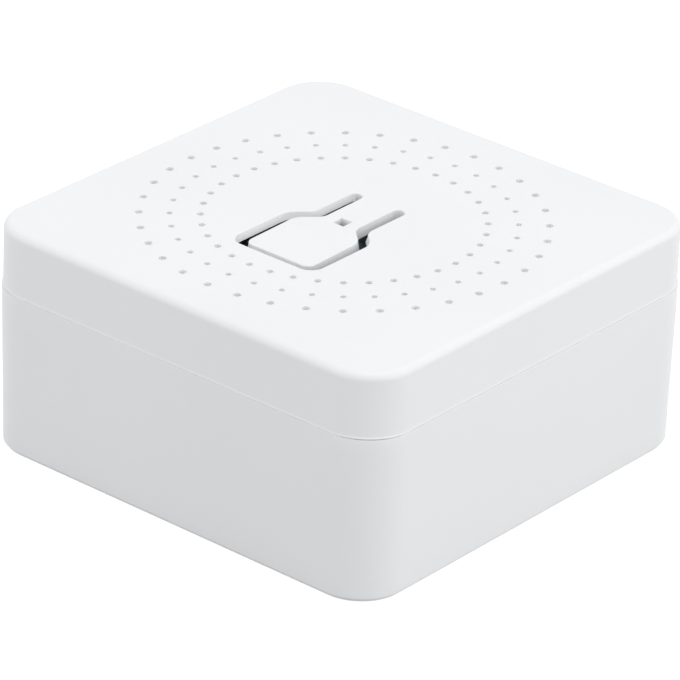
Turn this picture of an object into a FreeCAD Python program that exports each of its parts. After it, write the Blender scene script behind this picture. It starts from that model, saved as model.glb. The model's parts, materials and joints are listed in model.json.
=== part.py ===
import FreeCAD, Part
import math
import os
from FreeCAD import Vector

# Smart wifi switch module for a wall box: a two-part housing with a plug-shaped flexing button,
# six rising-clamp wire terminals, a circuit board, a relay, a power supply and a radio.
# Millimetres. The origin is the centre of the resting face, +Z is up, and the plug's prongs point to +Y.

# Housing
case_side = 40.0
case_height = 19.3
corner_radius = 4.1
cover_height = 5.4
base_draft = 0.75
cover_draft = 0.3
cover_step = 0.1
base_wall = 1.5
floor_thick = 1.5
foot_edge = 0.25
cover_wall = 1.5
roof_thick = 0.9
top_edge_radius = 0.45

# Rings of blind dimples in the cover
ring_radii = (11.2, 13.6, 16.0)
dimple_radii = (0.29, 0.25, 0.32)
dimples_per_ring = 36
dimple_depth = 0.4
dimple_sides = 6

# Plug-shaped slot and button, x measured from the plug's centreline
plug_centre_x = 0.17
slot_half = 4.22
slot_foot_y = -8.94
slot_foot_radius = 1.2
slot_shoulder_low_y = -2.07
slot_shoulder_high_y = -0.64
slot_shoulder_radius = 1.8
prong_root_radius = 1.4
prong_half = 2.665
prong_tip_y = 4.25
prong_tip_radius = 0.5
tongue_half = 1.665
button_half = 3.3
button_foot_y = -8.25
button_foot_radius = 0.8
button_shoulder_low_y = -2.27
button_shoulder_high_y = -0.75
button_shoulder_radius = 1.6
tongue_root_radius = 1.2
button_rest_angle = 0.8
light_hole_side = 1.05
light_hole_x = 0.25
light_hole_y = -0.48
light_well_wall = 0.4
post_radius = 1.0
post_y = -4.8
post_length = 1.12
button_play = 0.05

# Joint between base and cover
tongue_rib_height = 0.95
tongue_rib_thick = 0.7
tongue_rib_gap = 0.05
hook_y = (-10.0, 12.2)
hook_width = 4.0
hook_thick = 0.95
hook_reach = 4.0
hook_nose = 0.55
hook_nose_height = 1.0
hook_gap = 0.1
corner_post_side = 2.9
board_press_gap = 0.05

# Circuit board
board_thick = 1.2
board_gap = 0.3
board_corner_radius = 2.2
lead_radius = 0.3
lead_gap = 0.1
lead_rise = 0.8
pin_sides = 6
bore_sides = 12
inner_sides = 18
head_sides = 24

# Push switch and light on the board's upper face
switch_side = 4.5
switch_base_height = 1.1
switch_plate = 0.2
switch_well_radius = 1.75
switch_well_floor = 0.2
switch_leg_offset = 1.5
plunger_flange_radius = 1.6
plunger_flange_height = 0.35
plunger_radius = 1.05
plunger_gap = 0.08
dome_thick = 0.1
dome_gap = 0.05
led_size = (2.0, 1.25, 0.8)
led_lens_length = 1.2
light_well_gap = 0.35

# Radio module on the board's upper face
radio_corner = (4.9, -15.4)
radio_size = (12.0, 13.0, 0.8)
shield_inset = 0.7
shield_length = 7.6
shield_height = 1.8
shield_thick = 0.2
shield_edge = 0.1
radio_chip_side = 5.0
radio_chip_height = 0.85
antenna_strip = 0.5
antenna_gap = 0.6
antenna_thick = 0.08
antenna_reach = 3.2
antenna_fingers = 9

# Six-way terminal block under the board
way_count = 6
way_pitch = 5.0
block_floor_gap = 1.6
block_wall_gap = 0.15
block_front_wall = 1.0
block_back_wall = 2.1
block_end_wall = 0.7
chamber_width = 4.2
chamber_depth = 5.0
head_inset = 0.3
head_radius = 1.75
head_height = 1.4
head_gap = 0.1
recess_width = 0.55
recess_length = 2.2
recess_depth = 0.7
shoulder_thick = 0.5
screw_radius = 1.25
screw_gap = 0.05
seat_gap = 0.03
clamp_head_room = 1.42
clamp_gap = 0.1
clamp_threaded_wall = 0.9
clamp_grip_wall = 0.7
clamp_side_wall = 0.6
wire_gap = 2.6
contact_thick = 0.6
contact_gap = 0.15
contact_side_gap = 0.1
contact_pin_width = 1.0
window_width = 3.4
window_height = 3.4
window_flare = 0.4
driver_hole_radius = 1.95
driver_guide_wall = 0.4
driver_guide_gap = 0.3

# Relay under the board
relay_x = -17.6
relay_y = -1.3
relay_length = 28.5
relay_width = 10.1
relay_floor_gap = 0.3
relay_wall = 0.5
relay_case_edge = 0.25
relay_base_thick = 1.0
relay_fit = 0.05
relay_pin_gap = 0.4
yoke_thick = 1.0
yoke_width = 6.1
yoke_inset = 0.2
coil_rim = 0.4
coil_length = 9.8
bobbin_flange = 0.8
bobbin_floor_gap = 1.15
bobbin_tube_wall = 0.5
core_share = 0.42
core_neck_share = 0.26
pole_radius = 2.7
pole_thick = 0.7
magnet_gap = 0.05
armature_thick = 1.0
armature_width = 5.7
armature_angle = 4.0
armature_rise = 1.5
card_width = 4.5
card_thick = 0.8
card_rise = 1.7
blade_x = 5.0
blade_thick = 0.25
blade_width = 4.7
blade_tip_rise = 1.4
blade_foot_gap = 0.1
contact_radius = 1.3
contact_height = 0.85
contact_rise = 4.2
contact_open_gap = 0.55
spring_plate = 0.5
spring_foot = 1.0

# Parts that hang from the board
capacitor_floor_gap = 1.4
capacitor_groove = 0.35
bulk_capacitor_radius = 3.15
bulk_capacitor_places = ((14.55, 5.3), (14.55, -1.7))
bulk_lead_pitch = 2.5
output_capacitor_radius = 2.5
output_capacitor_place = (-5.2, -10.6)
output_lead_pitch = 2.0
safety_capacitor_corner = (-16.6, -7.2)
safety_capacitor_base = (13.0, 5.0)
safety_lead_pitch = 10.0
safety_edge = 0.3
varistor_place = (-12.3, -10.8)
varistor_radius = 4.1
varistor_thick = 3.6
varistor_rim = 0.9
varistor_lead_pitch = 5.0
fuse_place = (-7.5, -15.6)
fuse_radius = 1.7
fuse_length = 9.0
fuse_cap_length = 1.7
fuse_cap_step = 0.1
fuse_lead_pitch = 13.4
choke_place = (1.7, -8.0)
choke_radius = 4.0
choke_height = 9.0
choke_flange = 1.0
choke_neck_radius = 1.8
choke_wire_inset = 0.35
choke_lead_pitch = 5.0
bridge_place = (3.5, -15.3)
bridge_size = (4.7, 3.8, 2.4)
converter_place = (10.5, -15.0)
converter_size = (4.9, 3.9, 1.5)
chip_leg = 0.9
chip_leg_thick = 0.2
chip_leg_offset = 1.2
diode_places = ((15.0, -7.2), (15.0, -12.4))
diode_size = (2.6, 4.3, 2.2)

# Small parts on the board's upper face
regulator_place = (-9.5, -14.6)
regulator_size = (6.5, 3.5, 1.6)
regulator_tab = 3.2
regulator_leg_pitch = 2.2
driver_place = (-7.8, -7.0)
driver_size = (2.9, 1.3, 1.1)
driver_leg = 0.45
driver_leg_offset = 0.95
resistor_size = (1.6, 0.8, 0.45)
resistor_corner = (-13.2, -8.6)
resistor_columns = 2
resistor_rows = 5
ceramic_size = (2.0, 1.25, 0.9)
ceramic_corner = (-14.0, 4.5)
ceramic_columns = 5
small_part_pitch = 2.4
small_part_row_pitch = 1.6

# Levels and outlines that follow from the sizes above
part_line = case_height - cover_height
base_lean = part_line * math.tan(math.radians(base_draft))
base_half_top = case_side / 2
base_half_foot = base_half_top - base_lean
base_inner_half = base_half_top - base_wall
cover_half = base_half_top - cover_step
cover_lean = (case_height - part_line) * math.tan(math.radians(cover_draft))
cover_inner_half = cover_half - cover_wall
roof_under = case_height - roof_thick
board_under = part_line
board_top = board_under + board_thick
room_height = board_under - floor_thick
capacitor_height = room_height - capacitor_floor_gap
safety_capacitor_size = safety_capacitor_base + (capacitor_height,)
board_half = cover_inner_half - cover_lean - board_gap
lead_end = board_top + lead_rise
post_start = board_half - corner_post_side + board_gap

block_front = base_inner_half - base_lean - block_wall_gap
block_under = floor_thick + block_floor_gap
chamber_front = block_front - block_front_wall
chamber_back = chamber_front - chamber_depth
block_back = chamber_back - block_back_wall
screw_y = (chamber_front + chamber_back) / 2
block_half = way_pitch * (way_count - 1) / 2 + chamber_width / 2 + block_end_wall
way_x = [way_pitch * (way - (way_count - 1) / 2) for way in range(way_count)]
head_under = block_under + head_inset
head_top = head_under + head_height
chamber_floor = head_top + seat_gap + shoulder_thick
cage_height = clamp_threaded_wall + clamp_gap + contact_gap + contact_thick + wire_gap + clamp_grip_wall
clamp_travel = board_under - clamp_head_room - cage_height - clamp_gap - chamber_floor
clamp_under = chamber_floor + clamp_gap + clamp_travel
clamp_wall_top = clamp_under + clamp_threaded_wall
screw_tip = clamp_wall_top + clamp_gap
contact_under = screw_tip + contact_gap
contact_top = contact_under + contact_thick
grip_under = contact_top + wire_gap
clamp_top = grip_under + clamp_grip_wall
wire_z = (contact_top + grip_under) / 2

hinge_z = roof_under
sag_slope = math.tan(math.radians(button_rest_angle))
post_drop = (prong_tip_y - post_y) * sag_slope
plunger_top = hinge_z - post_length - button_play - post_drop

relay_under = floor_thick + relay_floor_gap
relay_base_under = board_under - relay_base_thick
relay_mid_y = relay_y + relay_width / 2
relay_inner_x = relay_x + relay_wall
yoke_under = relay_base_under - yoke_thick
yoke_back = relay_inner_x + yoke_inset
bobbin_flange_half = (yoke_under - magnet_gap - bobbin_floor_gap - relay_wall - relay_under) / 2
coil_radius = bobbin_flange_half - coil_rim
core_radius = coil_radius * core_share
core_neck_radius = coil_radius * core_neck_share
coil_z = yoke_under - magnet_gap - bobbin_flange_half
bobbin_start = yoke_back + yoke_thick + magnet_gap
coil_start = bobbin_start + bobbin_flange
coil_end = coil_start + coil_length
bobbin_end = coil_end + bobbin_flange
pole_face = bobbin_end + magnet_gap + pole_thick
armature_face = pole_face + magnet_gap
pivot_z = relay_base_under - yoke_thick / 2
card_z = relay_under + card_rise
blade_tip = relay_under + blade_tip_rise
blade_top = relay_base_under - blade_foot_gap
contact_z = relay_under + contact_rise
fixed_contact_face = blade_x - contact_height - contact_open_gap
fixed_plate_x = fixed_contact_face - contact_height - spring_plate


def box(x0, x1, y0, y1, z0, z1):
    return Part.makeBox(x1 - x0, y1 - y0, z1 - z0, Vector(x0, y0, z0))


def centred_box(place, size, z0):
    x, y = place
    return box(x - size[0] / 2, x + size[0] / 2, y - size[1] / 2, y + size[1] / 2, z0, z0 + size[2])


def hanging_box(place, size):
    # a block on the board's underside
    return centred_box(place, size, board_under - size[2])


def column(x, y, z0, z1, radius):
    return Part.makeCylinder(radius, z1 - z0, Vector(x, y, z0))


def polygon(x, y, z, radius, sides):
    # a level wire whose flats touch the circle
    reach = radius / math.cos(math.pi / sides)
    turns = [2 * math.pi * (step + 0.5) / sides for step in range(sides)]
    points = [Vector(x + reach * math.cos(turn), y + reach * math.sin(turn), z) for turn in turns]
    return Part.makePolygon(points + points[:1])


def flat_column(x, y, z0, z1, radius, sides):
    # the flat-sided form of a column, for the small pins, bores and dimples and the sealed inner parts
    return Part.Face(polygon(x, y, z0, radius, sides)).extrude(Vector(0, 0, z1 - z0))


def pin(x, y, z0, z1, radius):
    return flat_column(x, y, z0, z1, radius, pin_sides)


def inner_column(x, y, z0, z1, radius):
    return flat_column(x, y, z0, z1, radius, inner_sides)


def laid(upright, x, y, z):
    # an upright piece about the Z axis, laid along +X through a point
    upright.rotate(Vector(0, 0, 0), Vector(0, 1, 0), 90)
    upright.translate(Vector(x, y, z))
    return upright


def rod(x0, x1, y, z, radius):
    return laid(inner_column(0, 0, 0, x1 - x0, radius), x0, y, z)


def joined(shapes):
    return shapes[0].multiFuse(shapes[1:]).removeSplitter()


def turned(levels, x, y):
    # a flat-sided turned body about a vertical axis: flat faces between its (radius, height) levels
    wires = [polygon(x, y, height, radius, inner_sides) for radius, height in levels]
    rings = [[vertex.Point for vertex in wire.OrderedVertexes] for wire in wires]
    faces = [Part.Face(wires[0]), Part.Face(wires[-1])]
    for low, high in zip(rings, rings[1:]):
        for side in range(inner_sides):
            corners = [low[side - 1], low[side], high[side], high[side - 1], low[side - 1]]
            faces.append(Part.Face(Part.makePolygon(corners)))
    body = Part.makeSolid(Part.makeShell(faces))
    if body.Volume < 0:
        body.reverse()
    return body


def outline(corners, z):
    # a closed wire through (x, y, radius) corners, each rounded by a tangent arc
    starts = []
    middles = []
    ends = []
    for index, (x, y, radius) in enumerate(corners):
        here = Vector(x, y, z)
        last = corners[index - 1]
        following = corners[(index + 1) % len(corners)]
        back = Vector(last[0], last[1], z).sub(here).normalize()
        ahead = Vector(following[0], following[1], z).sub(here).normalize()
        half_angle = back.getAngle(ahead) / 2
        inward = back.add(ahead).normalize()
        starts.append(here + back * (radius / math.tan(half_angle)))
        ends.append(here + ahead * (radius / math.tan(half_angle)))
        middles.append(here + inward * (radius / math.sin(half_angle) - radius))
    edges = []
    for index in range(len(corners)):
        if corners[index][2] > 0:
            edges.append(Part.Arc(starts[index], middles[index], ends[index]).toShape())
        following = starts[(index + 1) % len(corners)]
        edges.append(Part.LineSegment(ends[index], following).toShape())
    return Part.Wire(edges)


def rounded_corners(half_x, half_y, radius):
    return [(half_x, -half_y, radius), (half_x, half_y, radius),
            (-half_x, half_y, radius), (-half_x, -half_y, radius)]


def square_outline(half, radius, z):
    return outline(rounded_corners(half, half, radius), z)


def prism(corners, z0, z1):
    return Part.Face(outline(corners, z0)).extrude(Vector(0, 0, z1 - z0))


def drafted_block(half_low, z_low, half_high, z_high, radius_high):
    # walls lean, and the corner radius shrinks with them so the wall keeps its thickness
    radius_low = radius_high - (half_high - half_low)
    wires = [square_outline(half_low, radius_low, z_low), square_outline(half_high, radius_high, z_high)]
    return Part.makeLoft(wires, True, True)


def upright_edges(shape):
    return [e for e in shape.Edges if e.BoundBox.ZLength > shape.BoundBox.ZLength / 2]


def edges_at(shape, z):
    return [e for e in shape.Edges if abs(e.BoundBox.ZMin - z) < 1e-4 and abs(e.BoundBox.ZMax - z) < 1e-4]


def four_sides(strip):
    # the same strip on all four sides
    sides = []
    for angle in (0, 90, 180, 270):
        copy = strip.copy()
        copy.rotate(Vector(0, 0, 0), Vector(0, 0, 1), angle)
        sides.append(copy)
    return sides


def two_sides(shape):
    # the same piece on the +X and the -X side
    return [shape, shape.mirror(Vector(0, 0, 0), Vector(1, 0, 0))]


def base_inner_at(z):
    return base_inner_half - (part_line - z) * math.tan(math.radians(base_draft))


def tongue_rib(gap):
    # the rib that the cover lets down behind the base's rim, or with a gap its groove
    outer = base_inner_half + tongue_rib_thick + gap
    reach = post_start - tongue_rib_gap * 2 + gap
    low = part_line - tongue_rib_height - gap
    return box(-reach, reach, base_inner_half - gap, outer, low, part_line + gap)


def hook_nose_prism(y, grow):
    # wedge-shaped catch: flat on top, sloping below
    face_x = base_inner_half - hook_gap - hook_thick / 2
    tip_x = base_inner_half - hook_gap + hook_nose + grow
    low = part_line - hook_reach - grow
    top = low + hook_nose_height + 2 * grow + hook_nose / 2
    mid = low + hook_nose / 2
    points = [Vector(face_x, 0, low), Vector(tip_x, 0, mid), Vector(tip_x, 0, top), Vector(face_x, 0, top)]
    width = hook_width + 2 * grow
    wedge = Part.Face(Part.makePolygon(points + points[:1])).extrude(Vector(0, width, 0))
    wedge.translate(Vector(0, y - width / 2, 0))
    return wedge


def wire_window(x):
    # square window through the rear wall, flared outwards
    def mouth(grow, z):
        half_x = window_width / 2 + grow
        half_z = window_height / 2 + grow
        return outline(rounded_corners(half_x, half_z, 0), z)
    window = Part.Face(mouth(0, -2 * base_wall)).extrude(Vector(0, 0, 3 * base_wall))
    flare = Part.makeLoft([mouth(0, -window_flare), mouth(window_flare, 0)], True, True)
    cut = window.fuse(flare)
    cut.rotate(Vector(0, 0, 0), Vector(1, 0, 0), -90)
    cut.translate(Vector(x, base_half_top, wire_z))
    return cut


def make_base_case():
    shell = drafted_block(base_half_foot, 0, base_half_top, part_line, corner_radius)
    shell = shell.makeChamfer(foot_edge, edges_at(shell, 0))
    inner_radius = corner_radius - base_wall
    inner_foot = base_inner_at(floor_thick)
    cavity = drafted_block(inner_foot, floor_thick, base_inner_half, part_line, inner_radius)
    post = box(post_start, base_inner_half, post_start, base_inner_half, floor_thick, part_line)
    posts = [piece.common(cavity) for piece in four_sides(post)]
    guide_half = driver_hole_radius + driver_guide_wall
    guide = box(way_x[0] - guide_half, way_x[-1] + guide_half, screw_y - guide_half, screw_y + guide_half,
                floor_thick, block_under - driver_guide_gap)
    body = joined([shell.cut(cavity), guide] + posts)
    cuts = four_sides(tongue_rib(tongue_rib_gap))
    cuts += [inner_column(x, screw_y, 0, block_under, driver_hole_radius) for x in way_x]
    cuts += [wire_window(x) for x in way_x]
    for y in hook_y:
        cuts += two_sides(hook_nose_prism(y, hook_gap))
    return body.cut(cuts)


def dimples():
    holes = []
    low = case_height - dimple_depth
    high = case_height + dimple_depth
    for ring, radius in zip(ring_radii, dimple_radii):
        for step in range(dimples_per_ring):
            angle = 2 * math.pi * step / dimples_per_ring
            x = ring * math.cos(angle)
            y = ring * math.sin(angle)
            holes.append(flat_column(x, y, low, high, radius, dimple_sides))
    return holes


def slot_corners():
    # the plug-shaped opening in the cover, from its foot round to the two prongs
    c = plug_centre_x
    half = [(slot_half, slot_foot_y, slot_foot_radius),
            (slot_half, slot_shoulder_low_y, slot_shoulder_radius),
            (prong_half, slot_shoulder_high_y, prong_root_radius),
            (prong_half, prong_tip_y, prong_tip_radius)]
    right = [(c + x, y, r) for x, y, r in half]
    left = [(c - x, y, r) for x, y, r in reversed(half)]
    return right + left


def button_corners():
    # the tongue flares into the cover at its root, which rounds the prongs' tips
    c = plug_centre_x
    half = [(button_half, button_foot_y, button_foot_radius),
            (button_half, button_shoulder_low_y, button_shoulder_radius),
            (tongue_half, button_shoulder_high_y, tongue_root_radius)]
    right = [(c + x, y, r) for x, y, r in half]
    left = [(c - x, y, r) for x, y, r in reversed(half)]
    root = prong_tip_y
    return right + [(c + tongue_half, root, 0), (c - tongue_half, root, 0)] + left


def tongue_flare(side):
    # the fillet that widens the tongue at its root, on one side
    x = plug_centre_x + side * tongue_half
    width = prong_tip_radius
    block = box(min(x, x + side * width), max(x, x + side * width),
                prong_tip_y - width, prong_tip_y, hinge_z, case_height)
    return block.cut(column(x + side * width, prong_tip_y - width, hinge_z, case_height, width))


def make_top_cover():
    top_half = cover_half - cover_lean
    shell = drafted_block(cover_half, part_line, top_half, case_height, corner_radius - cover_step)
    shell = shell.makeFillet(top_edge_radius, edges_at(shell, case_height))
    cavity = drafted_block(cover_inner_half, part_line, cover_inner_half - cover_lean, roof_under,
                           corner_radius - cover_step - cover_wall)
    column_start = post_start + board_gap
    press_foot = board_top + board_press_gap
    press = box(column_start, cover_inner_half, column_start, cover_inner_half, press_foot, roof_under)
    presses = [piece.common(cavity) for piece in four_sides(press)]
    ribs = four_sides(tongue_rib(0).common(box(-case_side, case_side, 0, case_side, 0, part_line)))
    hooks = []
    for y in hook_y:
        outer = base_inner_half - hook_gap
        arm = box(outer - hook_thick, outer, y - hook_width / 2, y + hook_width / 2,
                  part_line - hook_reach, roof_under)
        root = box(outer - hook_thick, cover_inner_half + hook_gap, y - hook_width / 2, y + hook_width / 2,
                   part_line + tongue_rib_gap, roof_under)
        hooks += two_sides(joined([arm, root, hook_nose_prism(y, 0)]))
    body = joined([shell.cut(cavity)] + presses + ribs + hooks)
    return body.cut([prism(slot_corners(), roof_under - roof_thick, case_height + roof_thick)] + dimples())


def make_plug_button():
    plate = prism(button_corners(), hinge_z, case_height)
    post = column(plug_centre_x, post_y, hinge_z - post_length, hinge_z, post_radius)
    led_top = board_top + led_size[2]
    well_foot = led_top + light_well_gap
    well_side = light_hole_side + 2 * light_well_wall
    well = centred_box((light_hole_x, light_hole_y), (well_side, well_side, hinge_z - well_foot), well_foot)
    hole_size = (light_hole_side, light_hole_side, case_height)
    hole = centred_box((light_hole_x, light_hole_y), hole_size, well_foot)
    body = joined([plate, tongue_flare(1), tongue_flare(-1), post, well]).cut(hole)
    body.rotate(Vector(0, prong_tip_y, hinge_z), Vector(1, 0, 0), button_rest_angle)
    return body


def lead_places():
    # where round leads pass the board
    relay_pin_x = yoke_back + yoke_thick / 2
    places = [(relay_pin_x, relay_pin_y) for relay_pin_y in relay_pin_ys()]
    for place in bulk_capacitor_places:
        places += paired(place, bulk_lead_pitch)
    places += paired(output_capacitor_place, output_lead_pitch)
    places += paired(safety_middle(), safety_lead_pitch)
    places += paired(varistor_place, varistor_lead_pitch)
    places += paired(fuse_place, fuse_lead_pitch)
    places += paired(choke_place, choke_lead_pitch)
    return places


def paired(place, pitch):
    return [(place[0] - pitch / 2, place[1]), (place[0] + pitch / 2, place[1])]


def safety_middle():
    return (safety_capacitor_corner[0] + safety_capacitor_size[0] / 2,
            safety_capacitor_corner[1] + safety_capacitor_size[1] / 2)


def relay_pin_ys():
    offset = yoke_width / 2 + relay_pin_gap + lead_radius
    return (relay_mid_y - offset, relay_mid_y + offset)


def make_main_board():
    plate = prism(rounded_corners(board_half, board_half, board_corner_radius),
                  board_under, board_top)
    cuts = [pin(x, y, board_under, board_top, lead_radius + lead_gap) for x, y in lead_places()]
    notch_x = base_inner_half - hook_gap - hook_thick - board_gap
    notch_half = hook_width / 2 + board_gap
    for y in hook_y:
        cuts += two_sides(box(notch_x, case_side, y - notch_half, y + notch_half, board_under, board_top))
    half_pin = contact_pin_width / 2 + lead_gap
    for x in way_x:
        cuts.append(box(x - half_pin, x + half_pin, contact_pin_back() - lead_gap,
                        contact_pin_back() + contact_thick + lead_gap, board_under, board_top))
    for x in (fixed_plate_x, blade_x + blade_thick):
        cuts.append(box(x - lead_gap, x + spring_plate + lead_gap, relay_mid_y - half_pin,
                        relay_mid_y + half_pin, board_under, board_top))
    return plate.cut(cuts)


def make_status_led():
    body = centred_box((light_hole_x, light_hole_y), (led_size[0], led_size[1], led_size[2] / 2), board_top)
    lens_size = (led_lens_length, led_size[1], led_size[2] / 2)
    lens = centred_box((light_hole_x, light_hole_y), lens_size, board_top + led_size[2] / 2)
    return joined([body, lens])


def make_switch():
    # snap-dome push switch: base with a well, dome, plunger and a pressed plate on top
    place = (plug_centre_x, post_y)
    well_floor = board_top + switch_well_floor
    base_top = board_top + switch_base_height
    base = centred_box(place, (switch_side, switch_side, switch_base_height), board_top)
    base = base.cut(inner_column(place[0], place[1], well_floor, base_top, switch_well_radius))
    plate = centred_box(place, (switch_side, switch_side, switch_plate), base_top)
    plate = plate.cut(inner_column(place[0], place[1], base_top, base_top + switch_plate,
                                   plunger_radius + plunger_gap))
    flange_top = base_top - dome_gap
    flange_under = flange_top - plunger_flange_height
    plunger = joined([inner_column(place[0], place[1], flange_under, flange_top, plunger_flange_radius),
                      inner_column(place[0], place[1], flange_top, plunger_top, plunger_radius)])
    dome_rise = flange_under - dome_gap - well_floor
    rim = switch_well_radius - plunger_gap
    crown = rim / 3
    outside = turned([(rim, well_floor), (crown, well_floor + dome_rise)], place[0], place[1])
    inner_top = well_floor + dome_rise - dome_thick
    inside = turned([(rim - dome_thick, well_floor), (crown - dome_thick, inner_top)],
                    place[0], place[1])
    dome = outside.cut(inside)
    legs = []
    for sx in (-1, 1):
        for sy in (-1, 1):
            x = place[0] + sx * (switch_side + chip_leg) / 2
            y = place[1] + sy * switch_leg_offset
            legs.append(centred_box((x, y), (chip_leg, chip_leg, switch_plate), board_top))
    export("tact_switch_base", base)
    export("tact_switch_cover", plate)
    export("tact_plunger", plunger)
    export("tact_dome", dome)
    export("tact_switch_legs", Part.makeCompound(legs))


def make_radio():
    # surface-mounted radio board with a pressed shield over its chip and a meander antenna at one end
    x0, y0 = radio_corner
    x1 = x0 + radio_size[0]
    y1 = y0 + radio_size[1]
    top = board_top + radio_size[2]
    export("wifi_module_board", box(x0, x1, y0, y1, board_top, top))
    sx0 = x0 + shield_inset
    sx1 = x1 - shield_inset
    sy1 = y1 - shield_inset
    sy0 = sy1 - shield_length
    shield = box(sx0, sx1, sy0, sy1, top, top + shield_height)
    shield = shield.makeChamfer(shield_edge, edges_at(shield, top + shield_height))
    hollow = box(sx0 + shield_thick, sx1 - shield_thick, sy0 + shield_thick, sy1 - shield_thick,
                 top, top + shield_height - shield_thick)
    export("wifi_shield_can", shield.cut(hollow))
    chip_place = ((sx0 + sx1) / 2, (sy0 + sy1) / 2)
    export("wifi_chip", centred_box(chip_place, (radio_chip_side, radio_chip_side, radio_chip_height), top))
    export("wifi_antenna", make_antenna((sx0 + sx1) / 2, sy0, top))


def make_antenna(x_middle, y_end, z):
    # fingers side by side, joined by turns at alternate ends
    step = antenna_strip + antenna_gap
    start = x_middle - step * (antenna_fingers - 1) / 2 - antenna_strip / 2
    y_high = y_end - antenna_gap
    y_low = y_high - antenna_reach
    strips = []
    for finger in range(antenna_fingers):
        x = start + finger * step
        strips.append(box(x, x + antenna_strip, y_low, y_high, z, z + antenna_thick))
        if finger < antenna_fingers - 1:
            y = y_high - antenna_strip if finger % 2 == 0 else y_low
            strips.append(box(x, x + step + antenna_strip, y, y + antenna_strip, z, z + antenna_thick))
    return joined(strips)


def contact_pin_back():
    return chamber_back - block_back_wall / 2


def make_terminal_block():
    # one moulding: a chamber for each clamp, open to the board, a head bore below and a wire mouth in front
    body = box(-block_half, block_half, block_back, block_front, block_under, board_under)
    cuts = []
    for x in way_x:
        half = chamber_width / 2
        cuts.append(box(x - half, x + half, chamber_back, chamber_front, chamber_floor, board_under))
        seat = head_top + seat_gap
        cuts.append(flat_column(x, screw_y, block_under, seat, head_radius + head_gap, bore_sides))
        cuts.append(flat_column(x, screw_y, head_top, chamber_floor, screw_radius + screw_gap, bore_sides))
        half_mouth = window_width / 2
        cuts.append(box(x - half_mouth, x + half_mouth, chamber_front, block_front,
                        wire_z - window_height / 2, wire_z + window_height / 2))
        half_slot = contact_half() + contact_side_gap
        cuts.append(box(x - half_slot, x + half_slot, contact_pin_back() - contact_side_gap, chamber_back,
                        contact_under, board_under))
    return body.cut(cuts)


def contact_half():
    # half-width of the fixed contact strip, which runs through the clamp
    return chamber_width / 2 - clamp_gap - clamp_side_wall - contact_side_gap


def make_terminal_screw(x):
    flat_radius = head_radius * math.cos(math.pi / head_sides)
    head = flat_column(x, screw_y, head_under, head_top, flat_radius, head_sides)
    shank = column(x, screw_y, head_top, screw_tip, screw_radius)
    screw = joined([head, shank])
    long_arm = centred_box((x, screw_y), (recess_length, recess_width, recess_depth), head_under)
    cross_arm = centred_box((x, screw_y), (recess_width, recess_length, recess_depth), head_under)
    return screw.cut([long_arm, cross_arm])


def make_terminal_clamp(x):
    # a square cage: the screw pulls its threaded wall, and its far wall lifts the wire to the contact
    half = chamber_width / 2 - clamp_gap
    inner = half - clamp_side_wall
    y0 = chamber_back + clamp_gap
    y1 = chamber_front - clamp_gap
    cage = box(x - half, x + half, y0, y1, clamp_under, clamp_top)
    tunnel = box(x - inner, x + inner, y0, y1, clamp_wall_top, grip_under)
    thread = flat_column(x, screw_y, clamp_under, clamp_wall_top, screw_radius + screw_gap, bore_sides)
    return cage.cut([tunnel, thread])


def make_terminal_contact(x):
    # a flat strip through the clamp, bent up into a solder pin
    half = contact_half()
    back = contact_pin_back()
    strip = box(x - half, x + half, back, chamber_front - clamp_gap, contact_under, contact_top)
    riser = box(x - half, x + half, back, back + contact_thick, contact_top, board_under)
    half_pin = contact_pin_width / 2
    tail = box(x - half_pin, x + half_pin, back, back + contact_thick, board_under, lead_end)
    return joined([strip, riser, tail])


def make_relay():
    x0 = relay_x
    x1 = relay_x + relay_length
    y0 = relay_y
    y1 = relay_y + relay_width
    case = box(x0, x1, y0, y1, relay_under, board_under)
    case = case.makeChamfer(relay_case_edge, edges_at(case, relay_under) + upright_edges(case))
    case = case.cut(box(x0 + relay_wall, x1 - relay_wall, y0 + relay_wall, y1 - relay_wall,
                        relay_under + relay_wall, board_under))
    inset = relay_wall + relay_fit
    base = box(x0 + inset, x1 - inset, y0 + inset, y1 - inset, relay_base_under, board_under)
    half_pin = contact_pin_width / 2
    cuts = []
    for x in (fixed_plate_x, blade_x + blade_thick):
        cuts.append(box(x - relay_fit, x + spring_plate + relay_fit, relay_mid_y - half_pin - relay_fit,
                        relay_mid_y + half_pin + relay_fit, relay_base_under, board_under))
    pin_x = yoke_back + yoke_thick / 2
    pins = []
    for y in relay_pin_ys():
        cuts.append(pin(pin_x, y, relay_base_under, board_under, lead_radius + relay_fit))
        pins.append(pin(pin_x, y, yoke_under, lead_end, lead_radius))
    export("relay_case", case)
    export("relay_base", base.cut(cuts))
    export("relay_coil_pins", Part.makeCompound(pins))
    make_relay_magnet()
    make_relay_contacts()


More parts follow.
